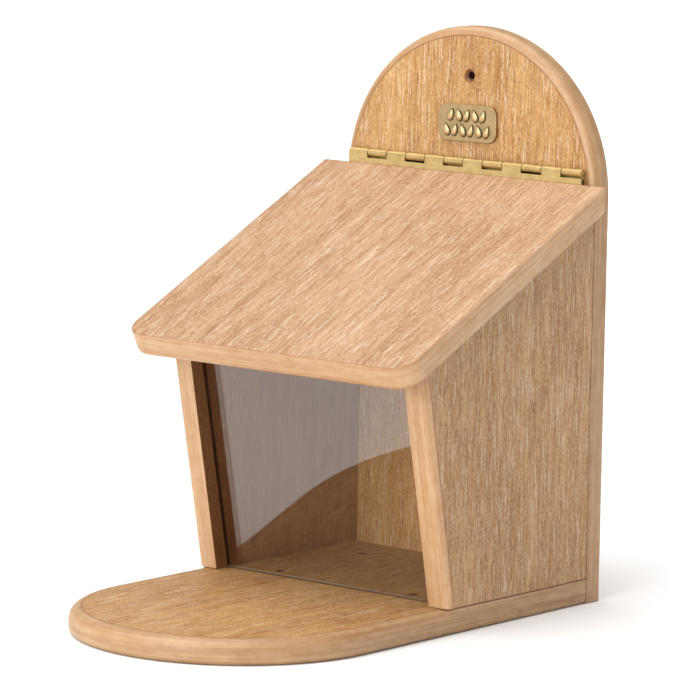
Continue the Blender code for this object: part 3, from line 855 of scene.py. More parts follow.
def screw_row_tree():
    """A countersunk, cross-recessed screw on each point, pointing along the turn that is given."""
    tree, given = new_tree(
        "countersunk_screws",
        [
            ("Head radius", NUMBER),
            ("Shank radius", NUMBER),
            ("Length", NUMBER),
            ("Recess width", NUMBER),
            ("Turn", "NodeSocketRotation"),
            ("Material", "NodeSocketMaterial"),
        ],
    )
    sides = 40
    cone = add_node(
        tree, "ShaderNodeMath", {0: given["Head radius"], 1: given["Shank radius"]}, operation="SUBTRACT"
    ).outputs[0]
    neck = add_node(tree, "ShaderNodeMath", {0: cone, 1: SCREW_LAND}, operation="ADD").outputs[0]
    links = {
        "Vertices": sides,
        "Radius Top": given["Head radius"],
        "Radius Bottom": given["Shank radius"],
        "Depth": cone,
    }
    head = add_node(tree, "GeometryNodeMeshCone", links)
    drop = add_node(
        tree,
        "ShaderNodeCombineXYZ",
        {"Z": add_node(tree, "ShaderNodeMath", {0: neck, 1: -1.0}, operation="MULTIPLY").outputs[0]},
    ).outputs[0]
    head = add_node(tree, "GeometryNodeTransform", {"Geometry": head.outputs[0], "Translation": drop})
    land = add_node(
        tree,
        "GeometryNodeMeshCylinder",
        {"Vertices": sides, "Radius": given["Head radius"], "Depth": SCREW_LAND},
    )
    land = add_node(
        tree,
        "GeometryNodeTransform",
        {"Geometry": land.outputs[0], "Translation": (0.0, 0.0, -SCREW_LAND / 2)},
    )
    point = add_node(
        tree, "ShaderNodeMath", {0: given["Shank radius"], 1: 2.0}, operation="MULTIPLY"
    ).outputs[0]
    body_length = add_node(
        tree,
        "ShaderNodeMath",
        {
            0: add_node(
                tree, "ShaderNodeMath", {0: given["Length"], 1: point}, operation="SUBTRACT"
            ).outputs[0],
            1: neck,
        },
        operation="SUBTRACT",
    ).outputs[0]
    links = {"Vertices": sides, "Radius": given["Shank radius"], "Depth": body_length}
    shank = add_node(tree, "GeometryNodeMeshCylinder", links)
    middle = add_node(
        tree,
        "ShaderNodeMath",
        {
            0: add_node(
                tree, "ShaderNodeMath", {0: body_length, 1: 0.5, 2: neck}, operation="MULTIPLY_ADD"
            ).outputs[0],
            1: -1.0,
        },
        operation="MULTIPLY",
    ).outputs[0]
    links = {
        "Geometry": shank.outputs[0],
        "Translation": add_node(tree, "ShaderNodeCombineXYZ", {"Z": middle}).outputs[0],
    }
    shank = add_node(tree, "GeometryNodeTransform", links)
    links = {
        "Vertices": sides,
        "Radius Top": given["Shank radius"],
        "Radius Bottom": SCREW_POINT,
        "Depth": point,
    }
    tip = add_node(tree, "GeometryNodeMeshCone", links)
    links = {
        "Geometry": tip.outputs[0],
        "Translation": add_node(
            tree,
            "ShaderNodeCombineXYZ",
            {
                "Z": add_node(
                    tree, "ShaderNodeMath", {0: given["Length"], 1: -1.0}, operation="MULTIPLY"
                ).outputs[0],
            },
        ).outputs[0],
    }
    tip = add_node(tree, "GeometryNodeTransform", links)
    solid = add_node(tree, "GeometryNodeMeshBoolean", operation="UNION", solver="EXACT")
    for part in (land, head, shank, tip):
        tree.links.new(part.outputs[0], solid.inputs["Mesh 2"])
    reach = add_node(
        tree, "ShaderNodeMath", {0: given["Head radius"], 1: 1.15}, operation="MULTIPLY"
    ).outputs[0]
    deep = add_node(
        tree, "ShaderNodeMath", {0: given["Head radius"], 1: 0.7}, operation="MULTIPLY"
    ).outputs[0]
    bars = []
    for x, y in ((reach, given["Recess width"]), (given["Recess width"], reach)):
        bar = add_node(
            tree,
            "GeometryNodeMeshCube",
            {"Size": add_node(tree, "ShaderNodeCombineXYZ", {"X": x, "Y": y, "Z": deep}).outputs[0]},
        )
        bars.append(bar)
    cut = add_node(
        tree, "GeometryNodeMeshBoolean", {"Mesh 1": solid.outputs[0]}, operation="DIFFERENCE", solver="EXACT"
    )
    for bar in bars:
        tree.links.new(bar.outputs[0], cut.inputs["Mesh 2"])
    links = {"Points": given["Geometry"], "Instance": cut.outputs[0], "Rotation": given["Turn"]}
    row = add_node(tree, "GeometryNodeInstanceOnPoints", links)
    close_tree(tree, row.outputs[0], given["Material"])
    return tree


def hinge_leaf_tree():
    """One leaf of a continuous hinge: a sheet notched for the other leaf, with rolled knuckles between.

    The hinge axis is X, the sheet hangs down -Z on the side of +Y, and the row starts at the given place.
    """
    tree, given = new_tree(
        "hinge_leaf",
        [
            ("Length", NUMBER),
            ("Pitch", NUMBER),
            ("Knuckles", "NodeSocketInt"),
            ("First knuckle", NUMBER),
            ("First notch", NUMBER),
            ("Sheet", NUMBER),
            ("Barrel radius", NUMBER),
            ("Leaf drop", NUMBER),
            ("Knuckle gap", NUMBER),
            ("Notch clearance", NUMBER),
            ("Material", "NodeSocketMaterial"),
        ],
    )
    half_sheet = add_node(
        tree, "ShaderNodeMath", {0: given["Sheet"], 1: 0.5}, operation="MULTIPLY"
    ).outputs[0]
    middle_radius = add_node(
        tree, "ShaderNodeMath", {0: given["Barrel radius"], 1: half_sheet}, operation="SUBTRACT"
    ).outputs[0]
    knuckle_length = add_node(
        tree, "ShaderNodeMath", {0: given["Pitch"], 1: given["Knuckle gap"]}, operation="SUBTRACT"
    ).outputs[0]
    step = add_node(
        tree,
        "ShaderNodeCombineXYZ",
        {
            "X": add_node(
                tree, "ShaderNodeMath", {0: given["Pitch"], 1: 2.0}, operation="MULTIPLY"
            ).outputs[0],
        },
    ).outputs[0]
    # The roll: it leaves the sheet, goes over the top of the pin and stops short of the sheet again.
    links = {"Resolution": 33, "Radius": middle_radius, "Start Angle": 0.0, "Sweep Angle": math.radians(292)}
    roll = add_node(tree, "GeometryNodeCurveArc", links, mode="RADIUS")
    links = {"Width": given["Sheet"], "Height": knuckle_length}
    section = add_node(tree, "GeometryNodeCurvePrimitiveQuadrilateral", links)
    links = {"Curve": roll.outputs[0], "Profile Curve": section.outputs[0], "Fill Caps": True}
    knuckle = add_node(tree, "GeometryNodeCurveToMesh", links)
    links = {"Geometry": knuckle.outputs[0], "Rotation": (math.pi / 2, 0.0, math.pi / 2)}
    knuckle = add_node(tree, "GeometryNodeTransform", links)
    links = {
        "Count": given["Knuckles"],
        "Start Location": add_node(tree, "ShaderNodeCombineXYZ", {"X": given["First knuckle"]}).outputs[0],
        "Offset": step,
    }
    line = add_node(tree, "GeometryNodeMeshLine", links, mode="OFFSET")
    row = add_node(
        tree, "GeometryNodeInstanceOnPoints", {"Points": line.outputs[0], "Instance": knuckle.outputs[0]}
    )
    rolls = add_node(tree, "GeometryNodeRealizeInstances", {"Geometry": row.outputs[0]})
    # The sheet, from its long edge up to the height of the axis.
    flat = add_node(
        tree,
        "GeometryNodeMeshCube",
        {
            "Size": add_node(
                tree,
                "ShaderNodeCombineXYZ",
                {"X": given["Length"], "Y": given["Sheet"], "Z": given["Leaf drop"]},
            ).outputs[0],
        },
    )
    shift = add_node(
        tree,
        "ShaderNodeCombineXYZ",
        {
            "Y": middle_radius,
            "Z": add_node(
                tree, "ShaderNodeMath", {0: given["Leaf drop"], 1: -0.5}, operation="MULTIPLY"
            ).outputs[0],
        },
    ).outputs[0]
    flat = add_node(tree, "GeometryNodeTransform", {"Geometry": flat.outputs[0], "Translation": shift})
    reach = add_node(
        tree, "ShaderNodeMath", {0: given["Barrel radius"], 1: given["Notch clearance"]}, operation="ADD"
    ).outputs[0]
    notch_length = add_node(
        tree, "ShaderNodeMath", {0: given["Pitch"], 1: given["Knuckle gap"]}, operation="ADD"
    ).outputs[0]
    deep = add_node(tree, "ShaderNodeMath", {0: reach, 1: 2.0}, operation="MULTIPLY").outputs[0]
    notch = add_node(
        tree,
        "GeometryNodeMeshCube",
        {
            "Size": add_node(
                tree, "ShaderNodeCombineXYZ", {"X": notch_length, "Y": deep, "Z": deep}
            ).outputs[0],
        },
    )
    links = {
        "Count": given["Knuckles"],
        "Start Location": add_node(tree, "ShaderNodeCombineXYZ", {"X": given["First notch"]}).outputs[0],
        "Offset": step,
    }
    line = add_node(tree, "GeometryNodeMeshLine", links, mode="OFFSET")
    row = add_node(
        tree, "GeometryNodeInstanceOnPoints", {"Points": line.outputs[0], "Instance": notch.outputs[0]}
    )
    notches = add_node(tree, "GeometryNodeRealizeInstances", {"Geometry": row.outputs[0]})
    links = {"Mesh 1": flat.outputs[0], "Mesh 2": notches.outputs[0]}
    comb = add_node(tree, "GeometryNodeMeshBoolean", links, operation="DIFFERENCE", solver="EXACT")
    leaf = add_node(tree, "GeometryNodeMeshBoolean", operation="UNION", solver="EXACT")
    for part in (comb, rolls):
        tree.links.new(part.outputs[0], leaf.inputs["Mesh 2"])
    close_tree(tree, leaf.outputs[0], given["Material"])
    return tree


# --------------------------------------------------------------------------------------------------
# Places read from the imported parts


def joint(name):
    return next(j for j in frame["joints"] if j["name"] == name)


def hinge_axis():
    return Vector(joint("lid_hinge")["pos_m"])


def centre_of(node):
    low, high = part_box(node)
    return (low + high) / 2


def finish_piece(piece, body, nodes):
    """Declares what the piece moves with, and hides the parts that it stands for."""
    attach(piece, body)
    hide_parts(*nodes)
    return piece


def finish_named(name):
    return bpy.data.materials[name]


# --------------------------------------------------------------------------------------------------
# Operators, one for each piece or group of like pieces


class FEEDER_OT_finishes(bpy.types.Operator):
    """Make the materials: lumber faces and edges, brass, steel, acrylic"""

    bl_idname = "feeder.finishes"
    bl_label = "Finishes"

    def execute(self, context):
        colours = context.scene.feeder_colours
        # The deep batch is painted shade, for the faces inside the box and the countersinks.
        for batch in ("golden", "lid_painted_sheen", "tan", "deep"):
            brushed_face_material(colours, batch)
        for batch in ("pale", "gold"):
            milled_edge_material(colours, batch)
        kerf_material(colours)
        plated_brass_material(colours)
        antique_brass_material(colours)
        stainless_material(colours)
        acrylic_material()
        acrylic_edge_material()
        return {"FINISHED"}


def lumber(batch):
    """The finishes of one board: its brushed faces, milled edges, kerfs darkened as painted shade, and
    deeper toned faces painted for the shade inside the box and in countersinks.
    """
    edge = "milled_lumber_edge_" + ("gold" if batch == "golden" else "pale")
    names = ("brushed_lumber_" + batch, edge, "sawn_and_drilled_lumber_painted_shade", "brushed_lumber_deep")
    return [finish_named(name) for name in names]


def round_ended_board(name, width, straight, thickness, stop, upper, lower):
    """A round-ended board in its own plane, rounded, from the tree."""
    widest = max(upper, lower)
    board = new_piece(name, bpy.data.meshes.new(name))
    tree = bpy.data.node_groups.get("round_ended_board") or round_ended_board_tree()
    values = {
        "Width": width,
        "Straight length": straight,
        "Thickness": thickness,
        "Stop": stop,
        "Upper weight": upper / widest,
        "Lower weight": lower / widest,
        "Steps": ARC_STEPS + 1,
        "Material": finish_named("milled_lumber_edge_gold"),
    }
    add_tree(board, tree, values)
    realise(board)
    weighted_bevel(board, widest, limit_method="WEIGHT", segments=ROUND_STEPS)
    realise(board)
    return board


def place_mesh(piece, matrix):
    piece.data.transform(matrix)
    piece.data.update()


def break_arrises(piece, width):
    """Takes the sharpness off what is still square."""
    weighted_bevel(piece, width, limit_method="ANGLE", angle_limit=math.radians(50), segments=2)
    realise(piece)


class FEEDER_OT_back_panel(bpy.types.Operator):
    """Build the arched back panel with its hanging hole"""

    bl_idname = "feeder.back_panel"
    bl_label = "Back panel"

    def execute(self, context):
        sizes = context.scene.feeder_boards
        low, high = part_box("back_panel")
        side_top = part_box("side_panel_left")[1].z
        width = high.x - low.x
        thickness = high.y - low.y
        straight = high.z - low.z - width / 2
        board = round_ended_board(
            "back_board", width, straight, thickness, side_top - low.z, sizes.front_round, sizes.under_round
        )
        break_arrises(board, sizes.arris_break)
        # The outline's Y becomes height, and its upper face looks towards the window.
        stand = Matrix.Translation((0.0, high.y, low.z)) @ Matrix.Rotation(math.pi / 2, 4, "X")
        place_mesh(board, stand)
        dress_board(board, stand.inverted(), lumber("golden"))
        forward = Matrix.Rotation(math.pi / 2, 4, "X")
        backward = Matrix.Rotation(-math.pi / 2, 4, "X")
        hang = Vector((0.0, low.y, high.z - sizes.hang_from_top))
        holes = [hole_cutter(sizes.hang_bore, sizes.hang_sink, thickness + OVERCUT, hang, forward)]
        holes += screw_holes(REAR_SCREWS, 1, high.y, backward)
        cut_with(board, join_cutters(holes), "back_holes")
        set_grain(board, stand.inverted(), (0.31, 0.0, 0.0))
        even_normals(board)
        finish_piece(board, "box", ["back_panel"])
        return {"FINISHED"}


class FEEDER_OT_base_board(bpy.types.Operator):
    """Build the base board and landing tray with its drain holes"""

    bl_idname = "feeder.base_board"
    bl_label = "Base and tray"

    def execute(self, context):
        sizes = context.scene.feeder_boards
        low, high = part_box("base_board")
        width = high.x - low.x
        thickness = high.z - low.z
        straight = high.y - low.y - width / 2
        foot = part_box("side_panel_left")
        front_foot = self.front_of_foot(foot, sizes)
        board = round_ended_board(
            "tray_board",
            width,
            straight,
            thickness,
            high.y - front_foot,
            sizes.tray_round,
            sizes.under_round,
        )
        break_arrises(board, sizes.arris_break)
        lay = Matrix.Translation((0.0, high.y, low.z)) @ Matrix.Rotation(math.pi, 4, "Z")
        place_mesh(board, lay)
        dress_board(board, lay.inverted(), lumber("golden"))
        holes = []
        back_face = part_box("back_panel")[0].y
        for depth in (back_face - sizes.drain_from_back, front_foot + sizes.drain_from_front):
            for side in (-0.5, 0.5):
                spot = Vector((side * sizes.drain_spacing, depth, high.z))
                bore = sizes.drain_bore
                holes.append(hole_cutter(bore, bore, thickness + OVERCUT, spot, Matrix()))
        holes += screw_holes(UNDER_SCREWS, 2, low.z, Matrix.Rotation(math.pi, 4, "X"))
        cut_with(board, join_cutters(holes), "base_holes")
        set_grain(board, lay.inverted(), (0.0, 0.57, 0.0))
        even_normals(board)
        finish_piece(board, "box", ["base_board"])
        return {"FINISHED"}

    @staticmethod
    def front_of_foot(foot, sizes):
        """Where the leaning front edge of a side panel meets the base."""
        low, high = foot
        front_top = high.z - (high.y - low.y) * math.tan(sizes.lid_slope)
        return low.y + (front_top - low.z) * math.tan(sizes.front_lean)


class FEEDER_OT_side_panels(bpy.types.Operator):
    """Build the two side panels with their window grooves"""

    bl_idname = "feeder.side_panels"
    bl_label = "Side panels"

    def execute(self, context):
        sizes = context.scene.feeder_boards
        for label, side in (("left", -1), ("right", 1)):
            self.make(label, side, sizes)
        return {"FINISHED"}

    def make(self, label, side, sizes):
        low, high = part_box("side_panel_" + label)
        thickness = high.x - low.x
        front_top = high.z - (high.y - low.y) * math.tan(sizes.lid_slope)
        front_foot = low.y + (front_top - low.z) * math.tan(sizes.front_lean)
        outline = [(high.y, low.z), (high.y, high.z), (low.y, front_top), (front_foot, low.z)]
        work = extruded(outline, thickness)
        # The outline's x and y become depth and height, and its thickness runs from the inner face outwards.
        inner = low.x if side > 0 else high.x
        stand = Matrix(
            ((0.0, 0.0, side, inner), (1.0, 0.0, 0.0, 0.0), (0.0, 1.0, 0.0, 0.0), (0.0, 0.0, 0.0, 1.0))
        )
        weights = work.edges.layers.float.new("bevel_weight_edge")
        for edge in work.edges:
            middle = (edge.verts[0].co + edge.verts[1].co) / 2
            on_line = front_foot - (middle.y - low.z) * math.tan(sizes.front_lean)
            if middle.z > 0.99 * thickness and abs(middle.x - on_line) < 1e-5:
                edge[weights] = 1.0
        board = new_piece(label + "_side_board", mesh_from(work, label + "_side_board"))
        weighted_bevel(board, sizes.front_round, limit_method="WEIGHT", segments=ROUND_STEPS)
        realise(board)
        break_arrises(board, sizes.arris_break)
        place_mesh(board, stand)
        across = Matrix(
            ((0.0, 1.0, 0.0, 0.0), (0.0, 0.0, 1.0, 0.0), (side, 0.0, 0.0, -side * inner), (0, 0, 0, 1))
        )
        dress_board(board, across, lumber("tan"))
        # The inner faces take the deep tone: painted shade inside the closed box.
        for face in board.data.polygons:
            if face.normal.x * side < -FLAT_LIMIT:
                face.material_index = PAINTED_SHADE
        self.cut_groove(board, inner, (low.z, front_foot), sizes)
        set_grain(board, across, (0.71, 1.3, 0.0) if side > 0 else (1.9, 0.4, 0.0))
        even_normals(board)
        finish_piece(board, "box", ["side_panel_" + label])

    @staticmethod
    def cut_groove(board, inner, foot, sizes):
        """A straight groove along the leaning front edge."""
        height, depth = foot
        work = bmesh.new()
        bmesh.ops.create_cube(work, size=1.0)
        bmesh.ops.scale(work, vec=(2 * sizes.groove_depth, sizes.groove_width, GROOVE_CUT), verts=work.verts)
        bmesh.ops.translate(
            work, vec=(0.0, sizes.groove_setback + sizes.groove_width / 2, 0.0), verts=work.verts
        )
        lean = Matrix.Translation((inner, depth, height)) @ Matrix.Rotation(sizes.front_lean, 4, "X")
        bmesh.ops.transform(work, matrix=lean, verts=work.verts)
        # The groove's faces take the near-black kerf: painted shade in the narrow slot.
        for face in work.faces:
            face.material_index = SHADED_KERF
        cut_with(board, work, "groove")


class FEEDER_OT_lid(bpy.types.Operator):
    """Build the sloping lid"""

    bl_idname = "feeder.lid"
    bl_label = "Lid"

    def execute(self, context):
        sizes = context.scene.feeder_boards
        low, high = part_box("roof_panel")
        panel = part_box("back_panel")
        thickness = panel[1].y - panel[0].y
        half = (high.x - low.x) / 2
        slope = sizes.lid_slope
        length = (high.y - low.y) / math.cos(slope)
        spare = 2 * thickness
        corner = sizes.lid_corner
        outline = [(half, spare), (-half, spare)]
        for centre_x, start in ((-half + corner, 180), (half - corner, 270)):
            for i in range(CORNER_STEPS + 1):
                angle = math.radians(start + 90 * i / CORNER_STEPS)
                spot = (centre_x + corner * math.cos(angle), -length + corner + corner * math.sin(angle))
                outline.append(spot)
        work = extruded(outline, thickness)
        weights = work.edges.layers.float.new("bevel_weight_edge")
        for edge in work.edges:
            middle = (edge.verts[0].co + edge.verts[1].co) / 2
            if middle.z < 0.01 * thickness and middle.y < spare - 1e-6:
                edge[weights] = 1.0
        lid = new_piece("lid_board", mesh_from(work, "lid_board"))
        weighted_bevel(lid, sizes.lid_round, limit_method="WEIGHT", segments=LID_ROUND_STEPS)
        realise(lid)
        # The upper face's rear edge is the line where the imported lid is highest.
        tilt = Matrix.Translation((0.0, high.y, high.z)) @ Matrix.Rotation(slope, 4, "X")
        tilt = tilt @ Matrix.Translation((0.0, 0.0, -thickness))
        place_mesh(lid, tilt)
        work = bmesh.new()
        work.from_mesh(lid.data)
        everything = work.verts[:] + work.edges[:] + work.faces[:]
        rear = bmesh.ops.bisect_plane(
            work,
            geom=everything,
            dist=1e-07,
            plane_co=(0.0, high.y, 0.0),
            plane_no=(0.0, 1.0, 0.0),
            clear_outer=True,
        )
        loose = [g for g in rear["geom_cut"] if isinstance(g, bmesh.types.BMEdge)]
        bmesh.ops.contextual_create(work, geom=loose)
        bmesh.ops.recalc_face_normals(work, faces=work.faces)
        work.to_mesh(lid.data)
        work.free()
        break_arrises(lid, sizes.arris_break)
        # The lid's own batch is paler, as painted sheen.
        dress_board(lid, tilt.inverted(), lumber("lid_painted_sheen"))
        set_grain(lid, tilt.inverted(), (0.13, 2.2, 0.0))
        even_normals(lid)
        finish_piece(lid, "lid", ["roof_panel"])
        return {"FINISHED"}


class FEEDER_OT_window(bpy.types.Operator):
    """Build the clear pane with its sawn edges"""

    bl_idname = "feeder.window"
    bl_label = "Window"

    def execute(self, context):
        work = bmesh.new()
        work.from_mesh(frame["nodes"]["front_window"].data)
        bmesh.ops.remove_doubles(work, verts=work.verts, dist=1e-6)
        bmesh.ops.dissolve_limit(work, angle_limit=0.01, verts=work.verts, edges=work.edges)
        pane = new_piece("clear_pane", mesh_from(work, "clear_pane"))
        weighted_bevel(pane, PANE_BREAK, limit_method="ANGLE", segments=3)
        realise(pane)
        pane.data.materials.clear()
        pane.data.materials.append(finish_named("clear_acrylic_sheet"))
        pane.data.materials.append(finish_named("sawn_acrylic_edge"))
        largest = max(pane.data.polygons, key=lambda face: face.area)
        facing = largest.normal.copy()
        for face in pane.data.polygons:
            face.material_index = 0 if abs(face.normal.dot(facing)) > FLAT_LIMIT else 1
        even_normals(pane)
        finish_piece(pane, "window", ["front_window"])
        return {"FINISHED"}


class FEEDER_OT_hinge(bpy.types.Operator):
    """Build the continuous hinge: two leaves with rolled knuckles, and the pin"""

    bl_idname = "feeder.hinge"
    bl_label = "Hinge"

    def execute(self, context):
        sizes = context.scene.feeder_hinge
        material = finish_named("brass_plated_steel")
        axis = hinge_axis()
        self.leaf("back_leaf", "hinge_back_leaf", "box", 1, sizes, material, axis)
        self.leaf("lid_leaf", "hinge_roof_leaf", "lid", -1, sizes, material, axis)
        pin = self.pin(axis, material)
        finish_piece(pin, "box", ["hinge_pin"])
        return {"FINISHED"}

    @staticmethod
    def leaf(name, node, body, side, sizes, material, axis):
        """Both leaves come from the same tool: the lid's is the back's, turned end for end."""
        low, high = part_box("hinge_pin")
        length = high.x - low.x
        knuckles = round(length / sizes.pitch / 2)
        leaf = new_piece(name, bpy.data.meshes.new(name))
        tree = bpy.data.node_groups.get("hinge_leaf") or hinge_leaf_tree()
        start = -length / 2 + sizes.pitch / 2
        values = {
            "Length": length,
            "Pitch": sizes.pitch,
            "Knuckles": knuckles,
            "First knuckle": start + sizes.pitch,
            "First notch": start,
            "Sheet": sizes.sheet,
            "Barrel radius": sizes.barrel,
            "Leaf drop": axis.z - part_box(node)[0].z,
            "Knuckle gap": sizes.gap,
            "Notch clearance": sizes.notch,
            "Material": material,
        }
        add_tree(leaf, tree, values)
        realise(leaf)
        turn = Matrix.Rotation(0.0 if side > 0 else math.pi, 4, "Z")
        place_mesh(leaf, Matrix.Translation(axis) @ turn)
        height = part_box(node)[0].z + sizes.screw_from_edge
        surface = axis.y + side * (sizes.barrel - sizes.sheet)
        aim = Matrix.Rotation(side * math.pi / 2, 4, "X")
        holes = []
        for spot in LEAF_SCREWS[body]:
            centre = Vector((centre_of(spot).x, surface, height))
            holes.append(hole_cutter(*LEAF_HOLE, centre, aim, steps=24))
        cut_with(leaf, join_cutters(holes), "leaf_holes")
        weighted_bevel(leaf, SHEET_BREAK, limit_method="ANGLE", angle_limit=math.radians(40), segments=2)
        realise(leaf)
        leaf.data.materials.clear()
        leaf.data.materials.append(material)
        even_normals(leaf)
        finish_piece(leaf, body, [node])

    @staticmethod
    def pin(axis, material):
        low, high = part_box("hinge_pin")
        radius = (high.z - low.z) / 2
        half = (high.x - low.x) / 2
        chamfer = 0.25 * MM
        outer = [(0.0, half), (radius - chamfer, half), (radius, half - chamfer)]
        work = turned(outer + [(r, -h) for r, h in reversed(outer)], 32)
        across = Matrix.Translation(axis) @ Matrix.Rotation(math.pi / 2, 4, "Y")
        bmesh.ops.transform(work, matrix=across, verts=work.verts)
        pin = new_piece("pin_rod", mesh_from(work, "pin_rod"))
        pin.data.materials.append(material)
        even_normals(pin)
        return pin


class FEEDER_OT_name_plate(bpy.types.Operator):
    """Build the cast name plate with two rows of seeds in relief"""

    bl_idname = "feeder.name_plate"
    bl_label = "Name plate"

    def execute(self, context):
        low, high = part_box("name_plate")
        width = high.x - low.x
        height = high.z - low.z
        centre = Vector((0.0, low.y + PLATE_THICKNESS, (low.z + high.z) / 2))
        outline = self.rounded_rectangle(width, height, PLATE_CORNER)
        work = extruded(outline, PLATE_THICKNESS)
        raised = work.verts.layers.float.new("raised")
        top = [f for f in work.faces if f.normal.z > FLAT_LIMIT]
        bmesh.ops.bevel(
            work, geom=top[0].edges[:], offset=PLATE_BREAK, segments=3, profile=0.5, affect="EDGES"
        )
        for point in work.verts:
            point[raised] = GROUND_RUB
        for spot, turn in self.motif():
            self.add_seed(work, raised, spot, turn)
        plate = new_piece("cast_plate", mesh_from(work, "cast_plate"))
        stand = Matrix.Translation(centre) @ Matrix.Rotation(math.pi / 2, 4, "X")
        place_mesh(plate, stand)
        self.add_prongs(plate, centre)
        plate.data.materials.append(finish_named("antique_brass"))
        even_normals(plate)
        finish_piece(plate, "box", ["name_plate"])
        return {"FINISHED"}

    @staticmethod
    def rounded_rectangle(width, height, corner):
        points = []
        for x, y, start in ((1, 1, 0), (-1, 1, 90), (-1, -1, 180), (1, -1, 270)):
            for i in range(PLATE_CORNER_STEPS + 1):
                angle = math.radians(start + 90 * i / PLATE_CORNER_STEPS)
                spot_x = x * (width / 2 - corner) + corner * math.cos(angle)
                spot_y = y * (height / 2 - corner) + corner * math.sin(angle)
                points.append((spot_x, spot_y))
        return points

    @staticmethod
    def motif():
        """Two rows of plump seeds, leaning in turn: (place, turn)."""
        seeds = []
        for row, count, y in SEED_ROWS:
            for i in range(count):
                x = (i - (count - 1) / 2) * SEED_SPACING
                lean = math.radians(SEED_LEAN if (i + row) % 2 else -SEED_LEAN)
                seeds.append(((x, y), lean))
        return seeds

    @staticmethod
    def add_seed(work, raised, spot, turn):
        """A pointed seed in relief, from a squashed sphere, with a dark foot."""
        made = bmesh.ops.create_uvsphere(work, u_segments=24, v_segments=12, radius=0.5)
        points = made["verts"]
        for point in points:
            along = point.co.y + 0.5
            taper = 1.0 - 0.55 * along * along
            point.co.x *= 0.68 * taper
            point.co.z *= 0.34
            point[raised] = min(1.0, max(0.0, 8.0 * point.co.z - 0.35))
        matrix = Matrix.Translation((*spot, PLATE_THICKNESS)) @ Matrix.Rotation(turn, 4, "Z")
        bmesh.ops.transform(work, matrix=matrix @ Matrix.Scale(SEED_LENGTH, 4), verts=points)

    @staticmethod
    def add_prongs(plate, centre):
        """The two cast prongs on the back that hold the plate in the board."""
        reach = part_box("name_plate")[1].y - centre.y
        work = bmesh.new()
        work.from_mesh(plate.data)
        raised = work.verts.layers.float["raised"]
        for side in (-1, 1):
            made = bmesh.ops.create_cone(
                work,
                cap_ends=True,
                segments=20,
                radius1=PRONG_RADIUS,
                radius2=PRONG_RADIUS,
                depth=reach + PRONG_OVERLAP,
            )
            middle = centre.y + (reach - PRONG_OVERLAP) / 2
            matrix = Matrix.Translation((side * PRONG_FROM_MIDDLE, middle, centre.z))
            bmesh.ops.transform(
                work, matrix=matrix @ Matrix.Rotation(math.pi / 2, 4, "X"), verts=made["verts"]
            )
            for point in made["verts"]:
                point[raised] = PRONG_RUB
        work.to_mesh(plate.data)
        work.free()


REAR_SCREWS = [
    f"{kind}_{side}{level}"
    for side in ("left", "right")
    for kind, level in (("side_screw", "_lower"), ("side_screw", "_upper"), ("base_screw", ""))
]
UNDER_SCREWS = [f"under_screw_{side}_{level}" for side in ("left", "right") for level in ("rear", "front")]
LEAF_SCREWS = {
    "box": [f"back_leaf_screw_{i}" for i in (1, 2, 3)],
    "lid": [f"roof_leaf_screw_{i}" for i in (1, 2, 3)],
}


class FEEDER_OT_screws(bpy.types.Operator):
    """Build the countersunk screws in the boards and in the hinge"""

    bl_idname = "feeder.screws"
    bl_label = "Screws"

    def execute(self, context):
        steel = finish_named("stainless_steel")
        brass = finish_named("brass_plated_steel")
        self.group("rear_screws", REAR_SCREWS, LUMBER_SCREW, REARWARD, 1, steel, "box", "screw_steel")
        self.group("under_screws", UNDER_SCREWS, LUMBER_SCREW, DOWNWARD, 2, steel, "box", "screw_steel")
        self.group(
            "back_leaf_screws", LEAF_SCREWS["box"], LEAF_SCREW, FORWARD, 1, brass, "box", "hinge_brass"
        )
        self.group(
            "lid_leaf_screws", LEAF_SCREWS["lid"], LEAF_SCREW, REARWARD, 1, brass, "lid", "hinge_brass"
        )
        return {"FINISHED"}

    @staticmethod
    def group(name, nodes, size, turn, axis, material, body, slot):
        """A screw at the head of each packed one, in one piece."""
        points = []
        for node in nodes:
            low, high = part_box(node)
            spot = centre_of(node)
            heads_at_high_end = turn == REARWARD
            spot[axis] = high[axis] if heads_at_high_end else low[axis]
            points.append(spot)
        mesh = bpy.data.meshes.new(name)
        mesh.from_pydata(points, [], [])
        row = new_piece(name, mesh)
        tree = bpy.data.node_groups.get("countersunk_screws") or screw_row_tree()
        values = dict(zip(("Head radius", "Shank radius", "Length", "Recess width"), size))
        values["Turn"] = turn
        values["Material"] = material
        add_tree(row, tree, values)
        realise(row)
        weighted_bevel(row, SCREW_BREAK, limit_method="ANGLE", angle_limit=math.radians(40), segments=2)
        realise(row)
        row.data.materials.clear()
        row.data.materials.append(material)
        even_normals(row)
        finish_piece(row, body, nodes)


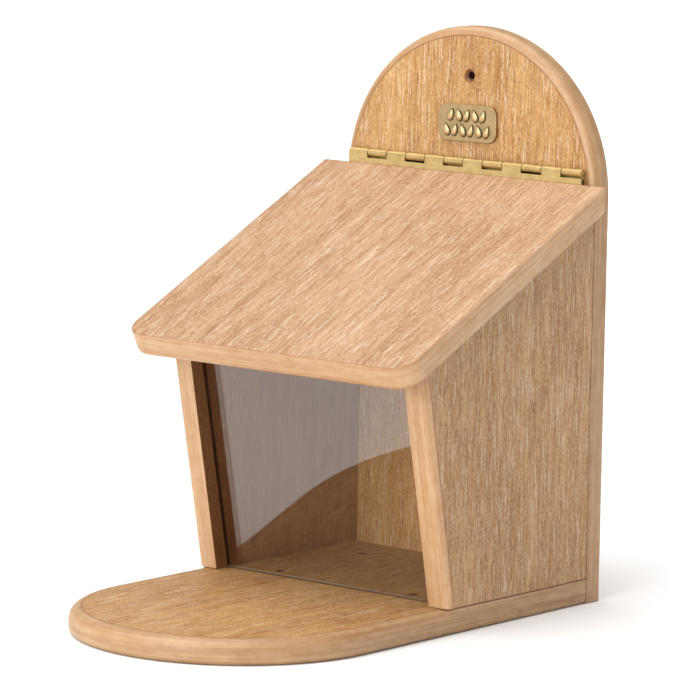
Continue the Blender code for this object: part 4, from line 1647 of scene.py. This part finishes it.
class FEEDER_OT_stage(bpy.types.Operator):
    """Set up the plain pale floor, the soft light and the camera"""

    bl_idname = "feeder.stage"
    bl_label = "Stage"

    def execute(self, context):
        scene = context.scene
        scene.view_settings.view_transform = "Standard"
        work = bmesh.new()
        bmesh.ops.create_grid(work, x_segments=1, y_segments=1, size=FLOOR_HALF)
        bmesh.ops.translate(work, vec=(0.0, 0.0, -FLOOR_DROP), verts=work.verts)
        floor = new_piece("floor", mesh_from(work, "floor"))
        floor.data.materials.append(backdrop_material(scene.feeder_colours))
        world = bpy.data.worlds.new("soft_surroundings")
        world.use_nodes = True
        background = world.node_tree.nodes["Background"]
        background.inputs["Color"].default_value = (1.0, 1.0, 1.0, 1.0)
        # White at the horizon like a studio sweep, and dimmer overhead.
        tree = world.node_tree
        direction = add_node(tree, "ShaderNodeTexCoord").outputs["Generated"]
        height = add_node(tree, "ShaderNodeSeparateXYZ", {0: direction}).outputs["Z"]
        tree.links.new(
            add_node(
                tree,
                "ShaderNodeMapRange",
                {
                    "Value": height,
                    "From Min": HORIZON_BAND[0],
                    "From Max": HORIZON_BAND[1],
                    "To Min": 1.0,
                    "To Max": SKY_LIGHT,
                },
            ).outputs[0],
            background.inputs["Strength"],
        )
        scene.world = world
        self.add_sun(scene, "top_softbox", TOP_LIGHT * math.pi, *TOP_SOFTBOX)
        self.add_sun(scene, "front_softbox", FRONT_LIGHT * math.pi, *FRONT_SOFTBOX)
        self.add_camera(scene)
        return {"FINISHED"}

    @staticmethod
    def add_sun(scene, name, strength, towards, spread):
        light = bpy.data.lights.new(name, "SUN")
        light.energy = strength
        light.angle = math.radians(spread)
        lamp = bpy.data.objects.new(name, light)
        lamp.rotation_mode = "QUATERNION"
        lamp.rotation_quaternion = Vector(towards).to_track_quat("Z", "Y")
        scene.collection.objects.link(lamp)

    @staticmethod
    def add_camera(scene):
        lens = bpy.data.cameras.new("view")
        lens.lens = CAMERA_LENS
        lens.sensor_width = CAMERA_SENSOR
        camera = bpy.data.objects.new("view", lens)
        azimuth = math.radians(CAMERA_AZIMUTH)
        elevation = math.radians(CAMERA_ELEVATION)
        back = Vector(
            (
                math.sin(azimuth) * math.cos(elevation),
                -math.cos(azimuth) * math.cos(elevation),
                math.sin(elevation),
            )
        )
        camera.location = Vector(CAMERA_AIM) + back * CAMERA_DISTANCE
        roll = Matrix.Rotation(math.radians(CAMERA_ROLL), 4, "Z")
        look = (-back).to_track_quat("-Z", "Y").to_matrix().to_4x4()
        camera.rotation_euler = (look @ roll).to_euler()
        lens.clip_start = 0.05
        lens.clip_end = 100.0
        scene.collection.objects.link(camera)
        scene.camera = camera


STEPS = (
    FEEDER_OT_stage,
    FEEDER_OT_finishes,
    FEEDER_OT_back_panel,
    FEEDER_OT_base_board,
    FEEDER_OT_side_panels,
    FEEDER_OT_lid,
    FEEDER_OT_window,
    FEEDER_OT_hinge,
    FEEDER_OT_name_plate,
    FEEDER_OT_screws,
)


class FEEDER_PT_sidebar(bpy.types.Panel):
    """Buttons that build the feeder, and the sizes and colours that they use"""

    bl_idname = "FEEDER_PT_sidebar"
    bl_label = "Birdhouse Feeder"
    bl_space_type = "VIEW_3D"
    bl_region_type = "UI"
    bl_category = "Birdhouse Feeder"

    def draw(self, context):
        for step in STEPS:
            self.layout.operator(step.bl_idname)
        for group in (context.scene.feeder_boards, context.scene.feeder_hinge, context.scene.feeder_colours):
            box = self.layout.box()
            for key in group.bl_rna.properties.keys():
                if key not in ("rna_type", "name"):
                    box.prop(group, key)


GROUPS = (FeederBoardSizes, FeederHingeSizes, FeederColours)


def register():
    for item in (*GROUPS, *STEPS, FEEDER_PT_sidebar):
        bpy.utils.register_class(item)
    bpy.types.Scene.feeder_boards = bpy.props.PointerProperty(type=FeederBoardSizes)
    bpy.types.Scene.feeder_hinge = bpy.props.PointerProperty(type=FeederHingeSizes)
    bpy.types.Scene.feeder_colours = bpy.props.PointerProperty(type=FeederColours)


def unregister():
    del bpy.types.Scene.feeder_colours
    del bpy.types.Scene.feeder_hinge
    del bpy.types.Scene.feeder_boards
    for item in reversed((*GROUPS, *STEPS, FEEDER_PT_sidebar)):
        bpy.utils.unregister_class(item)


def main():
    register()
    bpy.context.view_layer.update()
    for step in STEPS:
        area, name = step.bl_idname.split(".")
        getattr(getattr(bpy.ops, area), name)()


if __name__ == "__main__":
    main()
